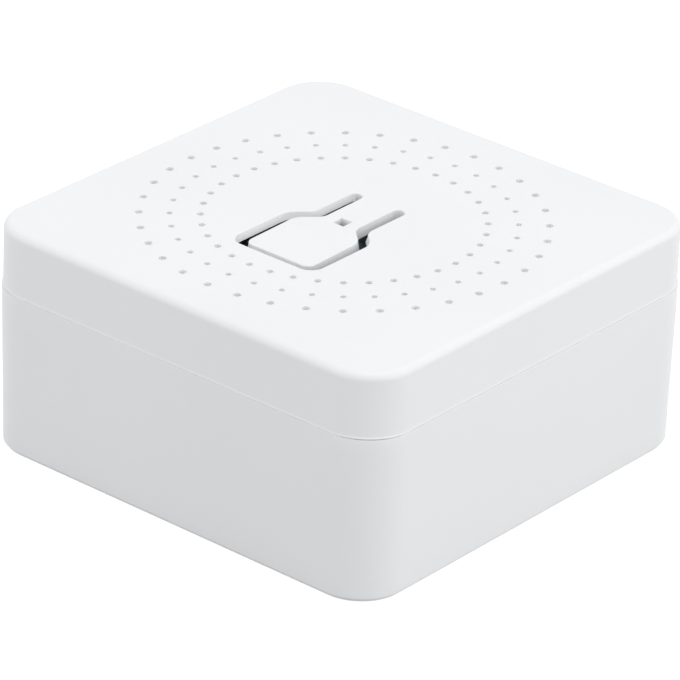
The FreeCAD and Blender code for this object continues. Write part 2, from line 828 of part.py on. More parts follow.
def make_relay_magnet():
    # coil on a bobbin, core through it, and an L-shaped yoke from the core's back to the armature's pivot
    y0 = relay_mid_y - yoke_width / 2
    y1 = relay_mid_y + yoke_width / 2
    neck_hole = rod(yoke_back, yoke_back + yoke_thick, relay_mid_y, coil_z, core_neck_radius + magnet_gap)
    back_leg = box(yoke_back, yoke_back + yoke_thick, y0, y1, coil_z - bobbin_flange_half, relay_base_under)
    long_leg = box(yoke_back, pole_face, y0, y1, yoke_under, relay_base_under)
    export("relay_yoke", joined([back_leg, long_leg]).cut(neck_hole))
    tube_inner = core_radius + magnet_gap
    tube_outer = tube_inner + bobbin_tube_wall
    flange_y0 = relay_mid_y - bobbin_flange_half
    flange_y1 = relay_mid_y + bobbin_flange_half
    flange_z = (coil_z - bobbin_flange_half, coil_z + bobbin_flange_half)
    flanges = [box(x, x + bobbin_flange, flange_y0, flange_y1, flange_z[0], flange_z[1])
               for x in (bobbin_start, coil_end)]
    bobbin = joined(flanges + [rod(bobbin_start, bobbin_end, relay_mid_y, coil_z, tube_outer)])
    export("relay_bobbin", bobbin.cut(rod(bobbin_start, bobbin_end, relay_mid_y, coil_z, tube_inner)))
    coil = rod(coil_start, coil_end, relay_mid_y, coil_z, coil_radius)
    export("relay_coil", coil.cut(rod(coil_start, coil_end, relay_mid_y, coil_z, tube_outer)))
    export("relay_core", joined([
        rod(yoke_back, bobbin_start, relay_mid_y, coil_z, core_neck_radius),
        rod(bobbin_start, pole_face - pole_thick, relay_mid_y, coil_z, core_radius),
        rod(pole_face - pole_thick, pole_face, relay_mid_y, coil_z, pole_radius)]))
    armature = box(armature_face, armature_face + armature_thick, relay_mid_y - armature_width / 2,
                   relay_mid_y + armature_width / 2, relay_under + armature_rise,
                   pivot_z + magnet_gap)
    armature.rotate(Vector(armature_face, 0, pivot_z), Vector(0, 1, 0), -armature_angle)
    export("relay_armature", armature)


def make_relay_contacts():
    # the card lies between the armature's foot and the blade's tip
    swing = math.radians(armature_angle)
    drop = pivot_z - card_z
    armature_back = armature_face + armature_thick * math.cos(swing) + drop * math.tan(swing)
    card = box(armature_back + relay_fit, blade_x - relay_fit, relay_mid_y - card_width / 2,
               relay_mid_y + card_width / 2, card_z, card_z + card_thick)
    export("relay_card", card)
    blade = box(blade_x, blade_x + blade_thick, relay_mid_y - blade_width / 2, relay_mid_y + blade_width / 2,
                blade_tip, blade_top)
    button = rod(blade_x - contact_height, blade_x, relay_mid_y, contact_z, contact_radius)
    export("relay_moving_blade", joined([blade, button]))
    half_pin = contact_pin_width / 2
    plate = box(fixed_plate_x, fixed_plate_x + spring_plate, relay_mid_y - blade_width / 2,
                relay_mid_y + blade_width / 2, contact_z - contact_radius, relay_base_under)
    tail = box(fixed_plate_x, fixed_plate_x + spring_plate, relay_mid_y - half_pin, relay_mid_y + half_pin,
               relay_base_under, lead_end)
    fixed_back = fixed_plate_x + spring_plate
    fixed_button = rod(fixed_back, fixed_contact_face, relay_mid_y, contact_z, contact_radius)
    export("relay_fixed_contact", joined([plate, tail, fixed_button]))
    back = blade_x + blade_thick
    foot = box(back, back + spring_plate, relay_mid_y - blade_width / 2, relay_mid_y + blade_width / 2,
               relay_base_under - spring_foot, relay_base_under)
    blade_tail = box(back, back + spring_plate, relay_mid_y - half_pin, relay_mid_y + half_pin,
                     relay_base_under, lead_end)
    export("relay_blade_terminal", joined([foot, blade_tail]))


def can_capacitor(place, r, lead_pitch):
    # aluminium can with a rolled groove at the lead end and two leads
    x, y = place
    foot = board_under - capacitor_height
    groove = capacitor_groove
    groove_z = board_under - groove * 3
    can = turned([(r - groove, foot), (r, foot + groove), (r, groove_z - groove),
                  (r - groove, groove_z), (r, groove_z + groove), (r, board_under)], x, y)
    return joined([can] + leads_to(paired(place, lead_pitch), board_under))


def leads_to(places, z0):
    return [pin(x, y, z0, lead_end, lead_radius) for x, y in places]


def make_power_parts():
    bulk = [can_capacitor(place, bulk_capacitor_radius, bulk_lead_pitch) for place in bulk_capacitor_places]
    export("bulk_capacitors", Part.makeCompound(bulk))
    output_can = can_capacitor(output_capacitor_place, output_capacitor_radius, output_lead_pitch)
    export("output_capacitor", output_can)
    safety = hanging_box(safety_middle(), safety_capacitor_size)
    safety = safety.makeChamfer(safety_edge, upright_edges(safety))
    safety_leads = leads_to(paired(safety_middle(), safety_lead_pitch), board_under)
    export("safety_capacitor", joined([safety] + safety_leads))
    x, y = varistor_place
    disc_z = board_under - varistor_radius - lead_rise
    rim = varistor_rim
    half = varistor_thick / 2
    disc = turned([(varistor_radius - rim, -half), (varistor_radius, rim - half),
                   (varistor_radius, half - rim), (varistor_radius - rim, half)], 0, 0)
    disc.rotate(Vector(0, 0, 0), Vector(1, 0, 0), 90)
    disc.translate(Vector(x, y, disc_z))
    export("surge_varistor", joined([disc] + leads_to(paired(varistor_place, varistor_lead_pitch), disc_z)))
    x, y = fuse_place
    fuse_z = board_under - fuse_radius - lead_rise
    half = fuse_length / 2
    half_pitch = fuse_lead_pitch / 2
    body = rod(x - half, x + half, y, fuse_z, fuse_radius)
    half_cap = fuse_cap_length / 2
    cap_radius = fuse_radius + fuse_cap_step
    caps = [rod(end - half_cap, end + half_cap, y, fuse_z, cap_radius) for end in (x - half, x + half)]
    wire = laid(pin(0, 0, -half_pitch - lead_radius, half_pitch + lead_radius, lead_radius), x, y, fuse_z)
    leads = leads_to(paired(fuse_place, fuse_lead_pitch), fuse_z)
    export("fuse_resistor", joined([body, wire] + caps + leads))
    make_choke()
    export("bridge_rectifier", chip_on_underside(bridge_place, bridge_size))
    export("converter_chip", chip_on_underside(converter_place, converter_size))
    export("rectifier_diodes", Part.makeCompound([hanging_box(place, diode_size) for place in diode_places]))


def make_choke():
    # drum core with a winding between its flanges
    x, y = choke_place
    foot = board_under - choke_height
    neck = choke_neck_radius
    low = foot + choke_flange
    high = board_under - choke_flange
    drum = [inner_column(x, y, foot, low, choke_radius), inner_column(x, y, low, high, neck),
            inner_column(x, y, high, board_under, choke_radius)]
    export("choke_core", joined(drum + leads_to(paired(choke_place, choke_lead_pitch), board_under)))
    winding = inner_column(x, y, low, high, choke_radius - choke_wire_inset)
    export("choke_winding", winding.cut(inner_column(x, y, low, high, neck)))


def chip_on_underside(place, size):
    # moulded body with two legs on each long side
    body = hanging_box(place, size)
    legs = []
    for sx in (-1, 1):
        for sy in (-1, 1):
            leg_place = (place[0] + sx * chip_leg_offset, place[1] + sy * (size[1] + chip_leg) / 2)
            legs.append(hanging_box(leg_place, (chip_leg, chip_leg, chip_leg_thick)))
    return joined([body] + legs)


def make_small_parts():
    regulator = centred_box(regulator_place, regulator_size, board_top)
    tab_place = (regulator_place[0], regulator_place[1] + (regulator_size[1] + chip_leg) / 2)
    tab = centred_box(tab_place, (regulator_tab, chip_leg, chip_leg_thick), board_top)
    legs = [centred_box((regulator_place[0] + step * regulator_leg_pitch,
                         regulator_place[1] - (regulator_size[1] + chip_leg) / 2),
                        (chip_leg, chip_leg, chip_leg_thick), board_top) for step in (-1, 0, 1)]
    export("voltage_regulator", joined([regulator, tab] + legs))
    driver_legs = [centred_box((driver_place[0] + dx, driver_place[1] + sy * (driver_size[1] + chip_leg) / 2),
                               (driver_leg, chip_leg, chip_leg_thick), board_top)
                   for dx, sy in ((-driver_leg_offset, -1), (driver_leg_offset, -1), (0, 1))]
    export("relay_driver", joined([centred_box(driver_place, driver_size, board_top)] + driver_legs))
    resistors = [centred_box((resistor_corner[0] + column_index * small_part_pitch,
                              resistor_corner[1] + row * small_part_row_pitch), resistor_size, board_top)
                 for column_index in range(resistor_columns) for row in range(resistor_rows)]
    export("chip_resistors", Part.makeCompound(resistors))
    ceramics = []
    for index in range(ceramic_columns):
        x = ceramic_corner[0] + index * small_part_pitch
        ceramics.append(centred_box((x, ceramic_corner[1]), ceramic_size, board_top))
    export("chip_capacitors", Part.makeCompound(ceramics))


def export(name, shape):
    shape.exportStep("parts/" + name + ".step")
    print(name, len(shape.Solids), round(shape.Volume, 2), shape.isValid())


os.makedirs("parts", exist_ok=True)
export("base_case", make_base_case())
export("top_cover", make_top_cover())
export("plug_button", make_plug_button())
export("main_board", make_main_board())
export("status_led", make_status_led())
make_switch()
make_radio()
export("terminal_block", make_terminal_block())
for way, x in enumerate(way_x, start=1):
    export("terminal_screw_" + str(way), make_terminal_screw(x))
    export("terminal_clamp_" + str(way), make_terminal_clamp(x))
export("terminal_contacts", Part.makeCompound([make_terminal_contact(x) for x in way_x]))
make_relay()
make_power_parts()
make_small_parts()
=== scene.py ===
import json
import math

import bmesh
import bpy
import numpy as np
from mathutils import Euler, Matrix, Vector


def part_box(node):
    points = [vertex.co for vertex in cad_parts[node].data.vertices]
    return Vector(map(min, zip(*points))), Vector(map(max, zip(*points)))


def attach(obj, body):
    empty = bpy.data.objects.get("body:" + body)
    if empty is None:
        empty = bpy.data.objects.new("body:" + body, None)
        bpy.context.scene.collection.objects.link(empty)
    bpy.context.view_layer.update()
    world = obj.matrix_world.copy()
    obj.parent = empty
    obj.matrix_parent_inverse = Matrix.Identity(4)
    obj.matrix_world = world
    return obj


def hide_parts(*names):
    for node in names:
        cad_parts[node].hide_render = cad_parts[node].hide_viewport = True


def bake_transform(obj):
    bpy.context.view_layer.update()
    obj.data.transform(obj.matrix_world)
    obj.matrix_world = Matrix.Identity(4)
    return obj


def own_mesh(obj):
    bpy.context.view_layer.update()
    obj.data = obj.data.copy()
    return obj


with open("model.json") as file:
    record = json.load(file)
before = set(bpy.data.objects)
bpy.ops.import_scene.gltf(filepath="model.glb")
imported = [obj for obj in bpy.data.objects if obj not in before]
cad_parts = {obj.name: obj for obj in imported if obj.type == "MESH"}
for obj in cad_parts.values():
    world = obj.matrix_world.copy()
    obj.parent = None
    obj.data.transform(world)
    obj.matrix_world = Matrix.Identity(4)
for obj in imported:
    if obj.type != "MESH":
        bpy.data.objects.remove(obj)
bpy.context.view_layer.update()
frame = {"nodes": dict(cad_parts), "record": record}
print("frame loaded:", len(frame["nodes"]), "nodes")

# Lengths are millimetres in the shapes and the camera's view, and metres in the meshes, materials,
# floor and lamps. Levels and widths that the CAD sets are read from the frame's boxes.
mm = 0.001


# lowest and highest corner of a CAD node, in millimetres
def nodeBox(node):
    low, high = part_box(node)
    return np.array(low) / mm, np.array(high) / mm


coverLow, coverHigh = nodeBox("top_cover")
baseHigh = nodeBox("base_case")[1]
buttonLow, buttonHigh = nodeBox("plug_button")
screwLow, screwHigh = nodeBox("terminal_screw_1")

topZ = coverHigh[2]
partZ = baseHigh[2]


# Helpers

meshing = {
    "arcStep": 7,  # most degrees between two points of a rounded corner
    "bevelMiddle": 0.3,  # where a rounded edge's middle lies, as a share of its radius
    "edgeRows": 4,
    "mergeReach": 2e-7,  # metres
    "shortestEdge": 1e-8,  # metres
    "sharpAngle": 50,  # degrees
}


# rows of points laid side by side: face (i, j) joins rows i and i+1 at columns j and j+1; a closed
# grid joins its last column to its first
def gridFaces(rows, columns, closed=True):
    i = np.arange(rows - 1)[:, None]
    j = np.arange(columns if closed else columns - 1)[None, :]
    k = (j + 1) % columns
    corners = [i * columns + j, i * columns + k, (i + 1) * columns + k, (i + 1) * columns + j]
    return np.stack(corners, -1).reshape(-1, 4)


# a grid of points as one part of a mesh: its points in one list, and its faces
def gridPart(points, closed=True):
    rows, columns = points.shape[:2]
    return points.reshape(-1, 3), gridFaces(rows, columns, closed)


# triangles between two loops round one centre. Both are walked by angle, and an edge is passed at
# the mean angle of its two ends: it makes a triangle with the point where the other loop's walk
# stands then. At equal angles the inner edge is passed first.
def zipPart(inner, outer, centre, axes=(0, 1)):
    loops, middles = [], []
    for loop in (inner, outer):
        flat = loop[:, axes] - np.asarray(centre)
        angle = np.arctan2(flat[:, 1], flat[:, 0])
        order = np.argsort(angle)
        angle = np.append(angle[order], angle[order][0] + 2 * np.pi)
        loops.append(loop[order])
        middles.append((angle[1:] + angle[:-1]) / 2)
    innerCount, outerCount = len(inner), len(outer)
    i, j = np.arange(innerCount), np.arange(outerCount)
    outerPoint = np.searchsorted(middles[1], middles[0]) % outerCount
    innerPoint = np.searchsorted(middles[0], middles[1], side="right") % innerCount
    innerTriangles = np.stack([i, (i + 1) % innerCount, innerCount + outerPoint], 1)
    outerTriangles = np.stack([innerCount + (j + 1) % outerCount, innerCount + j, innerPoint], 1)
    return np.concatenate(loops), np.concatenate([innerTriangles, outerTriangles])


# an outline with rounded corners: each corner (x, y, radius) becomes an arc from one tangent point
# to the next, and the normal is the travel direction turned a quarter to the right
def roundedPath(corners, closed=True):
    points, normals = [], []
    count = len(corners)
    for index, (x, y, radius) in enumerate(corners):
        here = np.array([x, y])
        before = np.array(corners[index - 1][:2])
        after = np.array(corners[(index + 1) % count][:2])
        if not closed and index == 0:
            before = 2 * here - after
        if not closed and index == count - 1:
            after = 2 * here - before
        come = (here - before) / np.linalg.norm(here - before)
        leave = (after - here) / np.linalg.norm(after - here)
        turn = math.atan2(come[0] * leave[1] - come[1] * leave[0], come @ leave)
        steps = math.ceil(abs(turn) / math.radians(meshing["arcStep"]))
        start = math.atan2(come[1], come[0])
        travel = start + (np.linspace(0, turn, 1 + steps) if radius else np.array([turn / 2]))
        normal = np.stack([np.sin(travel), -np.cos(travel)], 1)
        side = math.copysign(1, turn)
        toCentre = side * np.array([-come[1], come[0]]) * radius
        centre = here - come * radius * math.tan(abs(turn) / 2) + toCentre
        points.append(centre + side * normal * radius)
        normals.append(normal)
    return np.concatenate(points), np.concatenate(normals)


# a path carried down through a profile of (offset, height) rows: point = path + normal * offset,
# and where the mask is under 1 the offset shrinks with it
def sweep(path, normals, profile, mask=1.0):
    profile = np.asarray(profile, float)
    share = np.broadcast_to(mask, len(path))
    flat = path[None] + normals[None] * (profile[:, 0, None] * share)[..., None]
    z = np.broadcast_to(profile[:, 1, None], flat.shape[:2])
    return np.concatenate([flat, z[..., None]], 2)


# a quarter round of radius e: offset and height go from (outer - e, high) to (outer, high - e); a
# reach of -1 goes from (outer + e, high) inwards, and a fall of 1 goes up to high + e
def quarter(outer, high, e, count=meshing["edgeRows"], reach=1, fall=-1):
    t = np.linspace(0, np.pi / 2, count)
    offset = outer - reach * e * (1 - np.sin(t))
    return np.stack([offset, high + fall * e * (1 - np.cos(t))], 1)


# points of a circle of radius 1, evenly spaced
def unitCircle(steps):
    angle = np.arange(steps) * 2 * np.pi / steps
    return np.stack([np.cos(angle), np.sin(angle)], 1)


# rings round a centre, one for each (size, height) row: point = centre + ring * size
def ringGrid(centre, ring, rows):
    return np.stack([np.column_stack([ring * size + centre, np.full(len(ring), z)])
                     for size, z in rows])


# a closed box between two opposite corners, given in any order
def block(corner, opposite):
    low, high = np.sort([corner, opposite], axis=0)
    x = np.array([low[0], high[0], high[0], low[0]])
    y = np.array([low[1], low[1], high[1], high[1]])
    rings = [np.stack([x, y, np.full(4, z)], 1) for z in (low[2], high[2])]
    return np.concatenate(rings), np.concatenate([gridFaces(2, 4), [[3, 2, 1, 0], [4, 5, 6, 7]]])


# a mesh object from parts: they are laid end to end, equal points are merged, faces are turned
# outwards, and edges sharper than the angle stay crisp
def meshFrom(name, parts):
    points, faces, first = [], [], 0
    for vertices, polygons in parts:
        points.append(vertices)
        faces += (np.asarray(polygons) + first).tolist()
        first += len(vertices)
    mesh = bpy.data.meshes.new(name)
    mesh.from_pydata((np.concatenate(points) * mm).tolist(), [], faces)
    work = bmesh.new()
    work.from_mesh(mesh)
    bmesh.ops.remove_doubles(work, verts=work.verts, dist=meshing["mergeReach"])
    bmesh.ops.dissolve_degenerate(work, edges=work.edges, dist=meshing["shortestEdge"])
    bmesh.ops.recalc_face_normals(work, faces=work.faces)
    openEdges = sum(1 for edge in work.edges if len(edge.link_faces) != 2)
    work.to_mesh(mesh)
    work.free()
    mesh.shade_smooth()
    mesh.set_sharp_from_angle(angle=math.radians(meshing["sharpAngle"]))
    piece = bpy.data.objects.new(name, mesh)
    bpy.context.scene.collection.objects.link(piece)
    weighted = piece.modifiers.new("weightedNormals", "WEIGHTED_NORMAL")
    weighted.keep_sharp = True
    print(name, len(mesh.polygons), "faces,", openEdges, "open edges")
    return piece


# Case outline

outline = {
    "half": baseHigh[0],
    "arcCentre": 15.9,
    "arcPoints": 17,
    "windowPitch": 5.0,
    "windows": 6,
    "postSide": 2.9,
    "postGap": 0.3,  # between a corner post and the inner walls
    "sunk": 0.1,  # how far a post or hook reaches into the plate that it stands on
}
bandEnd = outline["windowPitch"] * outline["windows"] / 2


# the square with round corners: one side's stops and its corner's arc, turned four times by a
# right angle
def squareLoop():
    stops = np.linspace(-bandEnd, bandEnd, outline["windows"] + 1)
    arc = np.linspace(0, np.pi / 2, outline["arcPoints"])
    arcNormals = np.stack([np.cos(arc), np.sin(arc)], 1)
    sidePoints = np.stack([np.full(len(stops), outline["half"]), stops], 1)
    arcPoints = outline["arcCentre"] + arcNormals * (outline["half"] - outline["arcCentre"])
    path = np.concatenate([sidePoints, arcPoints])
    normals = np.concatenate([np.tile([1.0, 0.0], (len(stops), 1)), arcNormals])
    turns = [np.linalg.matrix_power(np.array([[0, 1], [-1, 0]]), k) for k in range(4)]
    return (np.concatenate([path @ turn for turn in turns]),
            np.concatenate([normals @ turn for turn in turns]))


casePath, caseNormals = squareLoop()
cornerShare = 2 * np.abs(caseNormals[:, 0] * caseNormals[:, 1])  # 0 on the flats, 1 mid-corner


# a square post in each corner of the case, between two heights
def cornerPosts(inner, low, high):
    near, far = inner - outline["postSide"], inner - outline["postGap"]
    return [block((side * near, other * near, low), (side * far, other * far, high))
            for side in (-1, 1) for other in (-1, 1)]


# Slot in the cover, and the button's place in it

plug = {
    "centreX": (buttonLow[0] + buttonHigh[0]) / 2,
    "middleY": -2.5,
    "rootY": buttonHigh[1],
    "slotHalf": 4.22,
    "slotFootY": -8.94,
    "slotFootRadius": 1.2,
    "slotShoulders": (-2.07, -0.64),
    "prongHalf": 2.665,
    "prongTipRadius": 0.5,
    "slotShoulderRadius": 1.8,
    "prongRootRadius": 1.4,
    "buttonShoulderRadius": 1.6,
    "tongueRootRadius": 1.2,
    "buttonHalf": (buttonHigh[0] - buttonLow[0]) / 2,
    "buttonFootY": -8.25,
    "buttonFootRadius": 0.8,
    "buttonShoulders": (-2.27, -0.75),
    "tongueHalf": 1.665,
    "tongueLength": 5.0,
    "footDrop": 0.1745,
    "edgeRound": 0.1,
    "slotEdgeRows": 4,  # points over the rounded edge
    "buttonEdgeRows": 5,
    "wallDepth": 0.64,
    "underChamfer": 0.35,
    "topDraft": 0.03,  # how far the slot's walls stand back at the top
    "footDraft": 0.12,  # how far they stand out at their foot
    "fadeLength": 0.15,
    "plateThick": 0.9,
}
plugCentre = np.array([plug["centreX"], plug["middleY"]])
roofUnder = topZ - plug["plateThick"]


# the slot's outline, walked so that its normals point into the cover
def slotPath():
    half = [(plug["slotHalf"], plug["slotFootY"], plug["slotFootRadius"]),
            (plug["slotHalf"], plug["slotShoulders"][0], plug["slotShoulderRadius"]),
            (plug["prongHalf"], plug["slotShoulders"][1], plug["prongRootRadius"]),
            (plug["prongHalf"], plug["rootY"], plug["prongTipRadius"])]
    corners = half + [(-x, y, radius) for x, y, radius in reversed(half)]
    path, normals = roundedPath(corners)
    return path + [plug["centreX"], 0], normals


# the slot's wall: rounded top edge, a wall that leans into the slot, and a chamfer below it
def slotProfile():
    top, foot, e = plug["topDraft"], plug["footDraft"], plug["edgeRound"]
    return np.concatenate([quarter(top, topZ, e, plug["slotEdgeRows"], reach=-1),
                           [(top, topZ - 2 * e), (-foot, topZ - plug["wallDepth"]),
                            (plug["underChamfer"] - foot, roofUnder)]])


# the button's side: rounded top edge, and a side that leans outwards down to the underside
def buttonProfile():
    top, foot, e = plug["topDraft"], plug["footDraft"], plug["edgeRound"]
    return np.concatenate([quarter(-top, topZ, e, plug["buttonEdgeRows"]),
                           [(-top, topZ - 2 * e), (foot, roofUnder)]])


# 1 along the slot, falling to 0 where the tongue joins the cover, so that the join is flush
def rootMask(path):
    return np.clip((plug["rootY"] - path[:, 1]) / plug["fadeLength"], 0, 1)


# the rounded edge's rows rise to the top face where the mask is 0
def fadeEdge(grid, edgeRows, mask):
    grid[:edgeRows, :, 2] = topZ - (topZ - grid[:edgeRows, :, 2]) * mask
    return grid


# Top cover

cover = {
    "topOffset": -0.128,
    "partOffset": -0.1,
    "topEdge": 0.62,
    "topEdgeRows": 10,
    "wall": 1.5,
    "cornerGap": 0.09,
    "flatGap": 0.015,
    "gapDepth": 0.3,
    "seatDepth": 0.01,  # the inner ring of the joint reaches this far below it
    "lipHeight": 0.16,
    "lipStep": 0.05,
    "lipEdge": 0.02,
    "lipFlat": 0.055,
    "lipCorner": 0.09,
    "flareShares": (0.25, 0.75, 1.0, 1.0),
    "ringRadii": (11.2, 13.6, 16.0),
    "dimpleRadii": (0.29, 0.25, 0.32),
    "dimples": 36,
    "cellSteps": 6,
    "dimpleDepth": 0.7,
    "dimpleEdge": 0.008,
    "dimpleEdgeRows": 3,
    "dimpleApron": 2.0,  # this and the next two are rings, as shares of a dimple's radius
    "dimpleFoot": 0.97,
    "dimpleFloor": 0.8,
    "hookY": (-10.0, 12.2),
    "hookWidth": 4.0,
    "hookBack": 1.0,  # this and the next one are a hook's two faces, from the inner wall
    "hookFront": 0.1,
    "postFoot": 1.3,
}
ringGap = cover["ringRadii"][1] - cover["ringRadii"][0]


# one cell round each dimple: its border is a patch of the ring with as many points on each side,
# and inside it circles of the same number of points go over the edge, down the wall and along the
# floor to the middle: point = middle + direction to the border's point * size
def dimpleCells():
    steps, stepAngle = cover["cellSteps"], 2 * np.pi / cover["dimples"]
    share = np.linspace(-0.5, 0.5, steps + 1)
    low, high = np.full(steps, -0.5), np.full(steps, 0.5)
    border = np.concatenate([np.stack([low, share[:-1]], 1), np.stack([share[:-1], high], 1),
                             np.stack([high, share[:0:-1]], 1), np.stack([share[:0:-1], low], 1)])
    turn = np.arange(cover["dimples"])[:, None] * stepAngle
    angle = turn + border[None, :, 1] * stepAngle
    floorZ, e = topZ - cover["dimpleDepth"], cover["dimpleEdge"]
    parts = []
    for ring, radius in zip(cover["ringRadii"], cover["dimpleRadii"]):
        distance = ring + border[None, :, 0] * ringGap
        edge = np.stack([distance * np.cos(angle), distance * np.sin(angle)], -1)
        middle = np.stack([ring * np.cos(turn), ring * np.sin(turn)], -1)
        away = edge - middle
        away /= np.linalg.norm(away, axis=2, keepdims=True)
        rows = [(radius * cover["dimpleApron"], topZ)]
        rows += quarter(radius, topZ, e, cover["dimpleEdgeRows"], reach=-1).tolist()
        rows += [(radius * cover["dimpleFoot"], floorZ + e),
                 (radius * cover["dimpleFloor"], floorZ), (0.0, floorZ)]
        levels = [(edge, topZ)] + [(middle + away * size, z) for size, z in rows]
        cells = np.stack([np.dstack([flat, np.full(flat.shape[:2], z)]) for flat, z in levels], 1)
        count, rowCount, columns = cells.shape[:3]
        first = (np.arange(count) * rowCount * columns)[:, None, None]
        faces = gridFaces(rowCount, columns)[None] + first
        parts.append((cells.reshape(-1, 3), faces.reshape(-1, 4)))
    return parts


# the cover's outside from the top edge down to the joint, then inwards along the joint and up the
# inner wall
def coverProfile():
    outer, low, step = cover["partOffset"], partZ + cover["flatGap"], cover["lipStep"]
    inner, groove = outer - cover["wall"], outer - cover["gapDepth"]
    lipTop, seat = low + cover["lipHeight"], partZ - cover["seatDepth"]
    edge = quarter(cover["topOffset"], topZ, cover["topEdge"], cover["topEdgeRows"])
    lip = [(outer, lipTop), (outer, lipTop - step), (outer, lipTop - 2 * step),
           (outer, low + cover["lipEdge"]), (outer - cover["lipEdge"], low)]
    joint = [(groove, low), (groove, seat), (inner, seat), (inner, roofUnder)]
    return np.concatenate([edge, lip, joint])


# the flare pushes the lip's rows outwards by their shares, and more at the corners; the rows from
# the lip's top to the joint rise towards the corners, so the joint is closed on the flats
def flareLip(points, lipRow):
    flare = cover["lipFlat"] + (cover["lipCorner"] - cover["lipFlat"]) * cornerShare
    share = np.array(cover["flareShares"])[:, None]
    last = lipRow + 1 + len(share)
    points[lipRow + 1:last, :, :2] += (share * flare)[..., None] * caseNormals[None]
    points[lipRow:last + 1, :, 2] += (cover["cornerGap"] - cover["flatGap"]) * cornerShare
    return points


# the cover: slot wall, outside with joint and inner wall, and dimples; flat faces join them on the
# top and under the roof, and hooks and posts stand inside
def makeCover():
    path, normals = slotPath()
    mask = rootMask(path)
    slot = fadeEdge(sweep(path, normals, slotProfile(), mask), plug["slotEdgeRows"], mask)
    outside = flareLip(sweep(casePath, caseNormals, coverProfile()), cover["topEdgeRows"])
    ring = unitCircle(cover["dimples"] * cover["cellSteps"])
    sizes = (cover["ringRadii"][0] - ringGap / 2, cover["ringRadii"][-1] + ringGap / 2)
    innerRing, outerRing = ringGrid((0, 0), ring, [(size, topZ) for size in sizes])
    parts = [gridPart(slot), gridPart(outside)] + dimpleCells()
    parts.append(zipPart(slot[0], innerRing, plugCentre))
    parts.append(zipPart(outerRing, outside[0], (0, 0)))
    parts.append(zipPart(slot[-1], outside[-1], plugCentre))
    inner = outline["half"] + cover["partOffset"] - cover["wall"]
    back, front = inner - cover["hookBack"], inner - cover["hookFront"]
    width, rootZ = cover["hookWidth"], roofUnder + outline["sunk"]
    for side in (-1, 1):
        for y in cover["hookY"]:
            parts.append(block((side * back, y - width / 2, coverLow[2]),
                               (side * front, y + width / 2, rootZ)))
    parts += cornerPosts(inner, partZ + cover["postFoot"], rootZ)
    piece = meshFrom("coverSkin", parts)
    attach(piece, "housing")
    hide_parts("top_cover")
    return piece


coverSkin = makeCover()


# Base

base = {
    "draft": 0.75,  # degrees that the outer wall leans
    "footEdge": 0.06,
    "footStepDepth": 0.25,
    "footStepHeight": 0.28,
    "rimEdge": 0.03,
    "wall": 1.5,
    "floor": 1.5,
    "rabbetWidth": 0.75,
    "windowMiddle": 10.45,
    "windowBand": (8.0, 12.9),  # the rabbet's floor is level with the band's top
    "windowHalf": 1.7,
    "windowFlare": 0.4,
    "windowRadius": 0.25,
    "windowEdge": 0.08,
    "flareEnd": ((0.05, -0.02), (0.0, 0.08)),  # (wider than the throat, deeper than the flare)
    "driverRadius": 1.95,
    "driverEdge": 0.15,
    "driverSteps": 32,
    "guideTop": 2.8,
    "guideHalf": 2.35,
}
wallSlope = math.tan(math.radians(base["draft"]))
screwY = (screwLow[1] + screwHigh[1]) / 2


# offset of the drafted outer wall at a height: none at the joint, and inwards below it
def wallOffset(z):
    return -wallSlope * (partZ - z)


# the base from its foot step up the drafted wall, over the rim and the rabbet, and down the inner
# wall to the floor; with it come the rows where the window band starts, outside and inside
def baseProfile():
    e, height = base["footEdge"], base["footStepHeight"]
    bandLow, bandHigh = base["windowBand"]
    recess = wallOffset(0) - base["footStepDepth"]
    foot = [(recess, 0.0), (recess, height)]
    foot += quarter(wallOffset(height + e), height, e, fall=1).tolist()
    outer = foot + [(wallOffset(z), z) for z in base["windowBand"]]
    rim = quarter(0.0, partZ, base["rimEdge"])[::-1].tolist()
    rabbet, inner = -base["rabbetWidth"], -base["wall"]
    down = [(rabbet, partZ), (rabbet, bandHigh), (inner, bandHigh), (inner, bandLow),
            (inner, base["floor"])]
    return np.array(outer + rim + down), len(foot), len(outer) + len(rim) + 2


# one wire window: outer border, flared mouth with small rounded corners and edges, throat, inner
# border
def windowParts(centreX, outerBorder, innerBorder):
    half, flare, e = base["windowHalf"], base["windowFlare"], base["windowEdge"]

    # square mouth path at a half-width, and its depth behind the sloping outer wall
    def mouth(size, depth):
        radius = base["windowRadius"]
        path = roundedPath([(size, -size, radius), (size, size, radius),
                            (-size, size, radius), (-size, -size, radius)])[0]
        z = base["windowMiddle"] + path[:, 1]
        return np.stack([centreX + path[:, 0], outline["half"] + wallOffset(z) - depth, z], 1)

    wide, middle = half + flare, e * meshing["bevelMiddle"]
    rows = [mouth(wide + e, 0), mouth(wide + middle, middle), mouth(wide, e)]
    rows += [mouth(half + wider, flare + deeper) for wider, deeper in base["flareEnd"]]
    throat = mouth(half, 0)
    throat[:, 1] = outline["half"] - base["wall"]
    tube = np.stack(rows + [throat])
    centre = (centreX, base["windowMiddle"])
    return [gridPart(tube), zipPart(tube[0], outerBorder, centre, (0, 2)),
            zipPart(throat, innerBorder, centre, (0, 2))]


# one driver hole: cell border, rounded edge, bore, and the cell border on top of the guide bar
def driverParts(centreX, lowBorder, highBorder):
    centre, radius = (centreX, screwY), base["driverRadius"]
    rows = quarter(radius, 0.0, base["driverEdge"], reach=-1, fall=1).tolist()
    rows.append((radius, base["guideTop"]))
    tube = ringGrid(centre, unitCircle(base["driverSteps"]), rows)
    return [gridPart(tube), zipPart(tube[0], lowBorder, centre),
            zipPart(tube[-1], highBorder, centre)]


